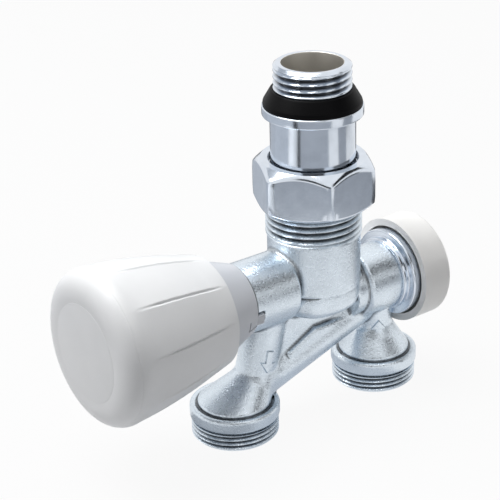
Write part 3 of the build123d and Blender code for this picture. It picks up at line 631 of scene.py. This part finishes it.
def forging_field(place):
    """Signed field of the forging: bars, plates and shoulders melted together, then its ways cut out."""
    x, y, _ = place
    neck = np.maximum(level_bar(place, WHEEL_Z, *LEFT_NECK), LEFT_NECK_CUT - x)
    chamber = trim(upright_bar(place, BARREL_X, *CHAMBER), np.abs(y) - CHAMBER_SIDES[0], CHAMBER_SIDES[1])
    right_neck = np.maximum(level_bar(place, BYPASS_Z, *RIGHT_NECK), x - RIGHT_NECK_CUT)
    field = melt(upright_bar(place, BARREL_X, *BARREL), neck, MELT["neck"])
    field = melt(field, chamber, MELT["chamber"])
    field = melt(field, level_bar(place, BYPASS_Z, *BYPASS_BOSS), MELT["boss"])
    field = melt(field, right_neck, MELT["right_neck"])
    (leg_x, _, leg_z), (top_x, _, top_z) = LEFT_LEG
    left = leaning_bar(place, (leg_x, leg_z), (top_x, top_z), LEFT_LEG_R)
    left = melt(left, shoulder(place, LEFT_FOOT_X, LEFT_LEAN), MELT["shoulder"])
    left = melt(left, leaning_bar(place, *DUCT, DUCT_R), MELT["duct"])
    left = melt(left, flat_plate(place, WEB, *WEB_SIDES), MELT["web"])
    left = melt(left, flat_plate(place, SHELF, *SHELF_SIDES), MELT["shelf"])
    right = upright_bar(place, RIGHT_FOOT_X, RIGHT_LEG[0][2], BYPASS_Z, RIGHT_LEG_R)
    right = melt(right, shoulder(place, RIGHT_FOOT_X, 0.0), MELT["shoulder"])
    field = melt(melt(field, left, MELT["legs"]), right, MELT["legs"])
    field = np.minimum(field, upright_bar(place, BARREL_X, *BARREL_CORE))
    for foot_x in (LEFT_FOOT_X, RIGHT_FOOT_X):
        field = melt(field, foot_field(place, foot_x), MELT["feet"])
    for way in forging_ways(place):
        field = np.maximum(field, -way)
    return field


def forging_ways(place):
    """Fields of the bores of barrel, necks and feet, of the ways between them, the tongue's notch and the
    feet's grooves."""
    x, y, z = place
    end, half_width, floor_r = NOTCH
    turn = math.radians(NOTCH_TURN)
    radial = -y * math.sin(turn) + (z - WHEEL_Z) * math.cos(turn)
    aside = y * math.cos(turn) + (z - WHEEL_Z) * math.sin(turn)
    ways = [
        upright_bar(place, BARREL_X, *BARREL_BORE),
        leaning_bar(place, *LEFT_WAY),
        leaning_bar(place, *RIGHT_WAY),
        np.maximum(np.maximum(x - end, np.abs(aside) - half_width), floor_r - radial),
    ]
    ways += [level_bar(place, WHEEL_Z, *bore) for bore in LEFT_BORES]
    ways += [level_bar(place, BYPASS_Z, *bore) for bore in RIGHT_BORES]
    for foot_x in (LEFT_FOOT_X, RIGHT_FOOT_X):
        ways += [upright_bar(place, foot_x, *SOCKET), foot_groove(place, foot_x)]
    return ways


def foot_groove(place, foot_x):
    """Field of the turned groove between a foot's band and its flange."""
    x, y, z = place
    radius, half_width, low, high = FOOT_GROOVE
    return np.maximum(np.abs(np.hypot(x - foot_x, y) - radius) - half_width, np.maximum(low - z, z - high))


def painted_crease_shade(points):
    """How much painted shade each point of the forging gets, from 0 to 1, by how deep it lies in a crease:
    the mean of the field at six points round it, which is below zero where there is metal on more than one
    side, over the reach, once for the narrow creases and once for the wide hollows. The neck's end, which the
    collar shades, gets full painted shade."""
    depth = np.zeros(len(points))
    for reach, gain, limit in CREASE_SHADES:
        around = np.zeros(len(points))
        for axis in range(3):
            for way in (-reach, reach):
                moved = points.copy()
                moved[:, axis] += way
                around += forging_field(tuple(moved.T))
        depth = np.maximum(depth, np.clip(-gain * around / (6 * reach) - CREASE_SHADE_START, 0.0, limit))
    shaded = (points[:, 0] < NECK_SHADE[0]) & (points[:, 2] > NECK_SHADE[1])
    return np.where(shaded, 1.0, depth)


def field_surface(values, origin, step):
    """Surface where a field is zero: every cell that it crosses gets the mean of the crossings on its edges,
    and every crossed grid edge gets a quad through its four cells."""
    cells = tuple(size - 1 for size in values.shape)
    total = np.zeros(cells + (3,), np.float32)
    count = np.zeros(cells, np.float32)
    crossed = []
    for axis in range(3):
        low, high = np.delete(values, -1, axis), np.delete(values, 0, axis)
        below = low < 0
        cross = below != (high < 0)
        share = np.where(cross, low / np.where(cross, low - high, 1.0), 0.0)
        crossed.append((cross, below))
        for corner in ((0, 0), (0, 1), (1, 0), (1, 1)):
            shift = np.insert(corner, axis, 0)
            part = tuple(slice(start, start + size) for start, size in zip(shift, cells))
            hit = cross[part]
            count += hit
            total[..., axis] += share[part]
            total += hit[..., None] * shift
    used = count > 0
    number = np.cumsum(used.ravel()).reshape(cells) - 1
    points = origin + step * (np.argwhere(used) + total[used] / count[used][:, None])
    quads = []
    for axis, (cross, below) in enumerate(crossed):
        b, c = ((1, 2), (2, 0), (0, 1))[axis]
        place = np.argwhere(cross)
        solid_below = below[cross]
        corners = []
        for back_b, back_c in ((1, 1), (0, 1), (0, 0), (1, 0)):
            cell = place.copy()
            cell[:, b] -= back_b
            cell[:, c] -= back_c
            corners.append(number[tuple(cell.T)])
        quad = np.stack(corners, axis=-1)
        quads.append(np.where(solid_below[:, None], quad, quad[:, ::-1]))
    return points, np.concatenate(quads)


def thread_ring(centre_x, wall, ring, pitch, threads):
    """Closed threaded ring along an outline that runs up the inside and down the wall, chamfered at one end.
    Gives points, quads and depth."""
    radius, low, high = wall
    inner_r, end = ring
    side = wall_rows(wall, pitch, threads)
    rim = np.array(((end[0], inner_r), end))
    foot = np.array(((low if end[0] > high else high, inner_r),))
    lip = foot + ((0.0, radius - inner_r - RING_LIP),)
    outline = np.concatenate((foot, rim, side if end[0] < low else side[::-1], lip))
    points, depth = threaded(outline, wall, pitch, threads)
    points[..., 0] += centre_x - BARREL_X
    flat = points.reshape(-1, 3)
    return flat, outward(flat, ring_quads(len(outline), threads.turn_steps, True)), depth


class VALVE_OT_body(bpy.types.Operator):
    """Forged body with its three screw threads"""

    bl_idname = "valve.body"
    bl_label = "Body"

    def execute(self, context):
        threads = context.scene.valve_threads
        step = context.scene.valve_moulding.forging_step
        low, high = np.array(FORGING_BOX)
        sizes = np.ceil((high - low) / step).astype(int)
        grid = [low[k] + step * np.arange(sizes[k], dtype=np.float32) for k in range(3)]
        place = (grid[0][:, None, None], grid[1][None, :, None], grid[2][None, None, :])
        points, quads = field_surface(forging_field(place), low, step)
        # Painted shade: the forging's creases and the threads' roots darken by their depth
        shells = [(points, quads, painted_crease_shade(points))]
        for centre_x, wall, ring, pitch in (
            (LEFT_FOOT_X, FOOT_WALL, FOOT_RING, threads.pipe_pitch),
            (RIGHT_FOOT_X, FOOT_WALL, FOOT_RING, threads.pipe_pitch),
            (BARREL_X, BARREL_WALL, BARREL_RING, threads.barrel_pitch),
        ):
            shells.append(thread_ring(centre_x, wall, ring, pitch, threads))
        starts = np.cumsum([0] + [len(shell[0]) for shell in shells[:-1]])
        points = np.concatenate([shell[0] for shell in shells])
        faces = np.concatenate([shell[1] + start for shell, start in zip(shells, starts)])
        mesh = make_mesh("forged_body", points, [faces], 38, np.concatenate([shell[2] for shell in shells]))
        make_piece("forged_body", mesh, finish("blasted_nickel"), "valve", "plated", "valve_body")
        return {"FINISHED"}


class VALVE_OT_arrows(bpy.types.Operator):
    """Raised flow arrows on the two legs"""

    bl_idname = "valve.arrows"
    bl_label = "Flow arrows"

    def execute(self, context):
        moulding = context.scene.valve_moulding
        make_arrow("left_flow_arrow", LEFT_LEG, LEFT_LEG_R, 11.6, -7.0, -1, moulding)
        make_arrow("right_flow_arrow", RIGHT_LEG, RIGHT_LEG_R, 7.4, -25.0, 1, moulding)
        return {"FINISHED"}


def make_arrow(name, leg, leg_r, along, turn, way, moulding):
    """Arrow on a leg: its height is a smooth step of the distance inside a flat arrow's outline, laid round
    the leg: P(u, v) = foot + v axis + (leg_r + h(u, v)) (cos(u / leg_r) n + sin(u / leg_r) m)."""
    half = moulding.arrow_length / 2
    width = ARROW_WIDTH * moulding.arrow_length
    u = np.linspace(-width - ARROW_MARGIN, width + ARROW_MARGIN, 61)
    v = np.linspace(-half - ARROW_MARGIN, half + ARROW_MARGIN, 91)
    across, up = np.meshgrid(u, v)
    tip = up * way
    head_length = ARROW_HEAD * moulding.arrow_length
    from_tip = half - tip
    in_head = np.minimum((from_tip * width / head_length - np.abs(across)) * 0.75, head_length - from_tip)
    in_shaft = np.minimum(0.4 * width - np.abs(across), np.minimum(from_tip - 0.5 * head_length, tip + half))
    inside = np.maximum(in_head, in_shaft)
    step = np.clip(inside / ARROW_SOFT + 0.5, 0.0, 1.0)
    height = moulding.arrow_height * (3 * step**2 - 2 * step**3) - ARROW_SINK
    foot, head = (np.array(end) for end in leg)
    axis = (head - foot) / np.linalg.norm(head - foot)
    facing = np.array((math.sin(math.radians(turn)), -math.cos(math.radians(turn)), 0.0))
    facing -= axis * (facing @ axis)
    facing /= np.linalg.norm(facing)
    side = np.cross(axis, facing)
    bend = across / leg_r
    spoke = np.cos(bend)[..., None] * facing + np.sin(bend)[..., None] * side
    spine = foot + (along + up)[..., None] * axis
    top = spine + (leg_r + height)[..., None] * spoke
    root = spine + (leg_r - ARROW_ROOT) * spoke
    loop = np.concatenate((top, root[:, ::-1]), axis=1)
    rows, columns = loop.shape[:2]
    flat = loop.reshape(-1, 3)
    cap = np.arange(columns // 2 - 1)
    ends = np.stack((cap, cap + 1, columns - 2 - cap, columns - 1 - cap), axis=-1)
    faces = np.concatenate((ring_quads(rows, columns, False), ends[:, ::-1], ends + (rows - 1) * columns))
    mesh = make_mesh(name, flat, [outward(flat, faces)], 40)
    make_piece(name, mesh, finish("blasted_nickel"), "valve", "plated")


class VALVE_OT_tailpiece(bpy.types.Operator):
    """Turned tail with the radiator thread"""

    bl_idname = "valve.tailpiece"
    bl_label = "Tailpiece"

    def execute(self, context):
        threads = context.scene.valve_threads
        pitch = threads.radiator_pitch
        start = (TAIL_THREAD_CORNER + 1) * CORNER_SAMPLES
        outline = np.insert(rounded(TAIL_CORNERS), start, wall_rows(TAIL_WALL, pitch, threads), axis=0)
        # The thread's depth becomes painted shade at its roots
        points, groove = threaded(outline, TAIL_WALL, pitch, threads)
        look = finish("tail_nickel")
        make_ring("turned_tailpiece", points, look, "valve", "polished", "tailpiece", groove=groove)
        return {"FINISHED"}


class VALVE_OT_seal_ring(bpy.types.Operator):
    """Conical rubber ring under the radiator thread"""

    bl_idname = "valve.seal_ring"
    bl_label = "Seal ring"

    def execute(self, context):
        outline = rounded(SEAL_CORNERS, 7)
        angle = round_angles(context.scene.valve_threads.turn_steps)
        points = turned_z(outline[:, :1], outline[:, 1:] + 0 * angle, angle)
        make_ring("seal_ring", points, finish("seal_rubber"), "valve", "black_rubber", "radiator_seal")
        return {"FINISHED"}


class VALVE_OT_union_nut(bpy.types.Operator):
    """Hexagon nut with turned chamfers"""

    bl_idname = "valve.union_nut"
    bl_label = "Union nut"

    def execute(self, context):
        steps = 360
        angle = round_angles(steps) + math.radians(NUT_TURN)
        bore = rounded(NUT_BORE_CORNERS)
        low, high = NUT_BOTTOM[0] + NUT_BOTTOM[2], NUT_TOP[0] - NUT_TOP[2]
        chamfers = np.linspace(NUT_BOTTOM[0], low, 25), np.linspace(high, NUT_TOP[0], 35)[1:]
        height = np.concatenate((chamfers[0], np.linspace(low, high, 6)[1:], chamfers[1]))[:, None]
        outside = nut_radius(height, angle)
        radius = np.concatenate((np.broadcast_to(bore[:, 1:], (len(bore), steps)), outside))
        along = np.concatenate((bore[:, :1], height))
        points = turned_z(along, radius, angle)
        look = finish("bright_nickel")
        make_ring("hexagon_nut", points, look, "union_nut", "polished", "union_nut", sharp_degrees=14)
        return {"FINISHED"}


def nut_radius(height, angle):
    """Radius of the nut: the least of the hexagon, half the flats / cos(a within a flat), a round that takes
    its corners off and the two chamfer cones, with rounded edges between them."""
    within = (angle - math.radians(NUT_TURN) + math.pi / 6) % (math.pi / 3) - math.pi / 6
    within = np.abs(within) - math.pi / 6
    hexagon = melt(NUT_FLATS / 2 / np.cos(within), NUT_CORNER_R - 0.15, 0.7)
    upper = NUT_TOP[1] + (NUT_TOP[0] - height) * (NUT_CORNER_R - NUT_TOP[1]) / NUT_TOP[2]
    lower = NUT_BOTTOM[1] + (height - NUT_BOTTOM[0]) * (NUT_CORNER_R - NUT_BOTTOM[1]) / NUT_BOTTOM[2]
    return melt(hexagon, np.minimum(upper, lower), 1.1)


class VALVE_OT_handwheel(bpy.types.Operator):
    """Moulded handwheel with ten flattened lobes"""

    bl_idname = "valve.handwheel"
    bl_label = "Handwheel"

    def execute(self, context):
        moulding = context.scene.valve_moulding
        outside = wheel_outside()
        inside = rounded(WHEEL_INSIDE)
        angle = round_angles(720)
        radius = outside[:, 1:] - lobe_cut(outside[:, :1], outside[:, 1:], angle, moulding)
        radius = np.concatenate((radius, np.broadcast_to(inside[:, 1:], (len(inside), angle.shape[1]))))
        along = np.concatenate((outside[:, :1], inside[:, :1]))
        points = turned_x(along, radius, angle)
        look, slot = finish("wheel_white"), "white_plastic"
        make_ring("moulded_handwheel", points, look, "handwheel", slot, "handwheel", sharp_degrees=50)
        paint("wheel_white", "handwheel_disc")
        return {"FINISHED"}


def wheel_outside():
    """Outside of the handwheel from its back rim to its front: the circle through three points, then a cubic
    Bezier curve round the front edge."""
    a, b, c = (np.array(p) for p in (WHEEL_BACK, WHEEL_MIDDLE, WHEEL_WIDEST))
    lines = 2 * np.array((b - a, c - a))
    centre = np.linalg.solve(lines, np.array((b @ b - a @ a, c @ c - a @ a)))
    size = np.linalg.norm(a - centre)
    first, last = (np.arctan2(*(p - centre)[::-1]) for p in (a, c))
    turn = np.linspace(first, last, 70)
    side = centre + size * np.stack((np.cos(turn), np.sin(turn)), axis=-1)
    nose = WHEEL_WIDEST[0] - WHEEL_FRONT[0]
    fall = WHEEL_WIDEST[1] - WHEEL_FRONT[1]
    p1 = (WHEEL_WIDEST[0] - WHEEL_NOSE_PULL * nose, WHEEL_WIDEST[1] + WHEEL_NOSE_SWELL)
    p2 = (WHEEL_FRONT[0], WHEEL_FRONT[1] + WHEEL_NOSE_PULL * fall)
    t = np.linspace(0.0, 1.0, 61)[1:, None]
    front = (1 - t) ** 3 * c + 3 * t * (1 - t) ** 2 * np.array(p1) + 3 * t**2 * (1 - t) * np.array(p2)
    front = front + t**3 * np.array(WHEEL_FRONT)
    return np.concatenate((side, front))


def lobe_cut(along, radius, angle, moulding):
    """Depth taken off the round side: between two grooves the section goes part of the way from the circle
    to its chord, fading out towards the front seam, which is a fine V, and each groove is a V of a set depth
    that runs out at both ends."""
    pitch = 2 * math.pi / WHEEL_LOBES
    off = (angle - math.radians(WHEEL_GROOVE_TURN) + pitch / 2) % pitch - pitch / 2
    from_back = WHEEL_BACK[0] - along
    seam = np.clip((moulding.seam_place - from_back) / LOBE_FADE, 0.0, 1.0)
    seam = 3 * seam**2 - 2 * seam**3
    off_seam = np.abs(from_back - moulding.seam_place) / SEAM_HALF_WIDTH
    line = moulding.seam_depth * np.clip(1 - off_seam, 0.0, 1.0)
    rim = np.clip(from_back / LOBE_RISE, 0.0, 1.0)
    centre_off = pitch / 2 - np.abs(off)
    chord = radius * (1 - math.cos(pitch / 2) / np.cos(centre_off))
    flat = moulding.lobe_flatness * chord * seam * (LOBE_AT_RIM + (1 - LOBE_AT_RIM) * rim)
    run = np.clip((from_back - GROOVE_START) / LOBE_RISE, 0.0, 1.0)
    run = run * np.clip((moulding.seam_place - GROOVE_END - from_back) / LOBE_FADE, 0.0, 1.0)
    aside = np.abs(off) * radius / moulding.groove_width
    groove = moulding.groove_depth * run * np.clip(1 - aside, 0.0, 1.0)
    return flat + groove + line


class VALVE_OT_bypass_head(bpy.types.Operator):
    """Polished head with two rings that guides the bypass spindle"""

    bl_idname = "valve.bypass_head"
    bl_label = "Bypass head"

    def execute(self, context):
        outline = rounded(BYPASS_HEAD_CORNERS)
        angle = round_angles(context.scene.valve_threads.turn_steps)
        points = turned_x(outline[:, :1], outline[:, 1:] + 0 * angle, angle)
        points[..., 2] += BYPASS_Z - WHEEL_Z
        make_ring("turned_bypass_head", points, finish("bright_nickel"), "valve", "polished", "bypass_bonnet")
        return {"FINISHED"}


class VALVE_OT_fittings(bpy.types.Operator):
    """Finishes of the pieces that keep their solid shape"""

    bl_idname = "valve.fittings"
    bl_label = "Fittings"

    def execute(self, context):
        paint("collar_grey", "base_collar")
        paint("cap_white", "protective_cap")
        paint("turned_brass", "bonnet", "gland_nut", "disc_holder", "bypass_sleeve", "bypass_spindle")
        paint("turned_steel", "spindle", "handwheel_screw", "nut_snap_ring")
        paint("seal_rubber", "tail_gasket", "bonnet_o_ring", "spindle_o_ring", "disc_washer")
        paint("seal_rubber", "bypass_o_ring", "bypass_spindle_o_ring")
        return {"FINISHED"}


# Studio

# Glowing cards seen only in reflections, which paint grey and dark reflections on the metal: sector to the
# right of the camera, distance, height and grey
ON_FLOOR = (0.0008, 0.0008)
UNDER_FLOOR_CARDS = (0.0006, 0.0006)
STUDIO_CARDS = (
    ("back_left_card", (-165.0, -120.0), (0.07, 0.5), ON_FLOOR, 0.55),
    ("left_card", (-120.0, -43.0), (0.14, 0.5), ON_FLOOR, 0.60),
    ("front_left_card", (-43.0, -33.0), (0.14, 0.5), ON_FLOOR, 0.03),
    ("front_card", (-33.0, 42.0), (0.14, 0.5), ON_FLOOR, 0.44),
    ("right_card", (70.0, 97.0), (0.14, 0.5), ON_FLOOR, 0.38),
    ("gap_card", (42.0, 70.0), (0.13, 0.168), ON_FLOOR, 0.5),
    ("far_right_card", (97.0, 140.0), (0.12, 0.19), ON_FLOOR, 0.08),
    ("back_card", (152.0, 206.0), (0.07, 0.6), ON_FLOOR, 0.15),
    # Painted shadow seen only in reflections: grey patches under the valve and by the left foot, where its
    # shadow lies on the floor
    ("under_shadow_card", (-180.0, 180.0), (0.001, 0.034), UNDER_FLOOR_CARDS, 0.6),
    ("left_foot_card", (-75.0, 5.0), (0.034, 0.06), UNDER_FLOOR_CARDS, 0.42),
    ("chamfer_card", (-165.0, -100.0), (0.5, 0.5), (0.38, 0.75), 0.5),
    ("neck_card", (60.0, 92.0), (0.5, 0.5), (0.0, 0.13), 0.08),
    ("band_card", (55.0, 115.0), (0.42, 0.42), (0.24, 0.52), 0.01),
    ("camera_card", (-30.0, 30.0), (0.52, 0.52), (0.16, 0.42), 0.03),
)
CARD_TINT = (0.95, 1.0, 1.08)
CARD_STEPS = 24

# Lamps: place, size, power and whether the metal shows them
STUDIO_LAMPS = (
    ("key_lamp", (-0.5, 0.3, 0.74), (0.5, 0.5), 2.8, True),
    ("fill_lamp", (0.65, -0.45, 0.35), (0.6, 0.5), 1.3, False),
    ("top_lamp", (-0.14, 0.18, 0.9), (0.6, 0.6), 8.2, True),
)
LAMP_TARGET = (0.0, 0.0, 0.045)
CAMERA_TARGET = (BARREL_X * MM, 0.0, 0.05)
FLOOR_SIZE = 6.0
FLOOR_GLOW = 0.93


def aim(location, target):
    """Rotation that points an object's -Z at a target."""
    return (Vector(target) - Vector(location)).to_track_quat("-Z", "Y").to_euler()


def add_lamp(name, location, size, energy, mirrored):
    """Soft area lamp that faces the valve; metal shows it unless it isn't to be mirrored."""
    data = bpy.data.lights.new(name, "AREA")
    data.shape = "RECTANGLE"
    data.size, data.size_y = size
    data.energy = energy
    lamp = new_object(name, data)
    lamp.location = location
    lamp.rotation_euler = aim(location, LAMP_TARGET)
    lamp.visible_glossy = mirrored


def sheet(name, points, faces, material):
    """Object of plain faces in metres."""
    mesh = bpy.data.meshes.new(name)
    mesh.from_pydata(points, [], faces)
    mesh.materials.append(material)
    return new_object(name, mesh)


def stage_plane(name, size, material):
    """Flat square at the origin."""
    half = size / 2
    corners = [(-half, -half, 0), (half, -half, 0), (half, half, 0), (-half, half, 0)]
    plane = sheet(name, corners, [(0, 1, 2, 3)], material)


def floor_finish(colour):
    """Matt floor that the camera and reflections see mostly as even white, so that the shadow stays soft."""
    nodes = material_nodes("studio_floor")
    nodes.coat(tuple(colour) + (1.0,), 0.9)
    glow = nodes.add("ShaderNodeEmission", {"Color": WHITE, "Strength": 1.0}).outputs["Emission"]
    share = nodes.ramp(nodes.seen(), 0.0, 1.0, 0.0, FLOOR_GLOW)
    mix = nodes.add("ShaderNodeMixShader", {0: share, 1: nodes.shader.outputs["BSDF"], 2: glow})
    nodes.feed(nodes.tree.nodes["Material Output"].inputs["Surface"], mix.outputs["Shader"])
    return nodes.owner


def card_glow(name, level):
    """Even grey glow of a card, which paints a reflection on the metal; only reflections show it."""
    nodes = material_nodes(name)
    grey = tuple(channel * level for channel in CARD_TINT) + (1.0,)
    glow = nodes.add("ShaderNodeEmission", {"Color": grey, "Strength": 1.0})
    nodes.feed(nodes.tree.nodes["Material Output"].inputs["Surface"], glow.outputs["Emission"])
    return nodes.owner


def only_reflected(card):
    """Leaves a card to reflections alone."""
    for rays in ("camera", "diffuse", "transmission", "shadow"):
        setattr(card, "visible_" + rays, False)


def add_card(name, sector, reach, rise, level):
    """Glowing grey card, seen only in reflections, as a patch of a cone round the valve: P(s, t) = (d cos a,
    d sin a, z), with a running over the sector, in degrees to the right of the camera, and (d, z) from first
    to last reach and rise."""
    ahead = math.radians(bpy.context.scene.valve_studio.azimuth - 90.0)
    angle = ahead + np.radians(np.linspace(*sector, CARD_STEPS + 1))[:, None]
    share = np.linspace(0.0, 1.0, 2)[None, :]
    distance = reach[0] + (reach[1] - reach[0]) * share + 0 * angle
    height = rise[0] + (rise[1] - rise[0]) * share + 0 * angle
    points = np.stack((distance * np.cos(angle), distance * np.sin(angle), height), axis=-1).reshape(-1, 3)
    first = 2 * np.arange(CARD_STEPS)
    faces = np.stack((first, first + 1, first + 3, first + 2), axis=-1)
    only_reflected(sheet(name, points.tolist(), faces.tolist(), card_glow(name, level)))


def light_world(strength):
    """White world for camera, glossy and transmitted rays, dimmer for the light it gives."""
    world = bpy.data.worlds.new("studio_world")
    bpy.context.scene.world = world
    nodes = Nodes(world)
    background = nodes.tree.nodes["Background"]
    nodes.feed(background.inputs["Color"], WHITE)
    nodes.feed(background.inputs["Strength"], nodes.ramp(nodes.seen(), 0.0, 1.0, strength, 1.0))


def place_camera(studio):
    """Camera at the photo's angle: its axes are the turn by azimuth and elevation, then the roll."""
    turn, rise, roll = (math.radians(a) for a in (studio.azimuth, studio.elevation, studio.roll))
    back = Vector((math.sin(turn) * math.cos(rise), -math.cos(turn) * math.cos(rise), math.sin(rise)))
    right = Vector((math.cos(turn), math.sin(turn), 0.0))
    up = back.cross(right)
    side = right * math.cos(roll) + up * math.sin(roll)
    top = up * math.cos(roll) - right * math.sin(roll)
    data = bpy.data.cameras.new("photo_camera")
    data.sensor_width = 36.0
    data.lens = studio.lens
    data.shift_x = studio.shift_x
    data.shift_y = studio.shift_y
    data.clip_start = 0.01
    camera = new_object("photo_camera", data)
    place = Matrix((side, top, back)).transposed().to_4x4()
    place.translation = Vector(CAMERA_TARGET) + back * (studio.distance * MM)
    camera.matrix_world = place
    bpy.context.scene.camera = camera


class VALVE_OT_studio(bpy.types.Operator):
    """Floor, world, lamps, cards and camera"""

    bl_idname = "valve.studio"
    bl_label = "Studio"

    def execute(self, context):
        studio = context.scene.valve_studio
        context.scene.view_settings.view_transform = "Standard"
        stage_plane("studio_floor", FLOOR_SIZE, floor_finish(studio.floor))
        light_world(studio.ambient)
        for lamp in STUDIO_LAMPS:
            add_lamp(*lamp)
        for card in STUDIO_CARDS:
            add_card(*card)
        place_camera(studio)
        return {"FINISHED"}


PIECE_OPERATORS = (
    VALVE_OT_body, VALVE_OT_arrows, VALVE_OT_tailpiece, VALVE_OT_seal_ring, VALVE_OT_union_nut,
    VALVE_OT_handwheel, VALVE_OT_bypass_head, VALVE_OT_fittings, VALVE_OT_studio,
)


class VALVE_PT_panel(bpy.types.Panel):
    """Sidebar panel with the pieces and the studio"""

    bl_idname = "VALVE_PT_panel"
    bl_label = "Radiator valve"
    bl_space_type = "VIEW_3D"
    bl_region_type = "UI"
    bl_category = "Valve"

    def draw(self, context):
        for operator in PIECE_OPERATORS:
            self.layout.operator(operator.bl_idname)


SETTINGS = {
    "valve_threads": ValveThreads,
    "valve_moulding": ValveMoulding,
    "valve_finish": ValveFinish,
    "valve_studio": ValveStudio,
}


def register():
    for settings in SETTINGS.values():
        bpy.utils.register_class(settings)
    for name, settings in SETTINGS.items():
        setattr(bpy.types.Scene, name, PointerProperty(type=settings))
    for cls in (*PIECE_OPERATORS, VALVE_PT_panel):
        bpy.utils.register_class(cls)


def unregister():
    for cls in (VALVE_PT_panel, *reversed(PIECE_OPERATORS)):
        bpy.utils.unregister_class(cls)
    for name in SETTINGS:
        delattr(bpy.types.Scene, name)
    for settings in SETTINGS.values():
        bpy.utils.unregister_class(settings)


def main():
    register()
    bpy.ops.valve.body()
    bpy.ops.valve.arrows()
    bpy.ops.valve.tailpiece()
    bpy.ops.valve.seal_ring()
    bpy.ops.valve.union_nut()
    bpy.ops.valve.handwheel()
    bpy.ops.valve.bypass_head()
    bpy.ops.valve.fittings()
    bpy.ops.valve.studio()


if __name__ == "__main__":
    main()
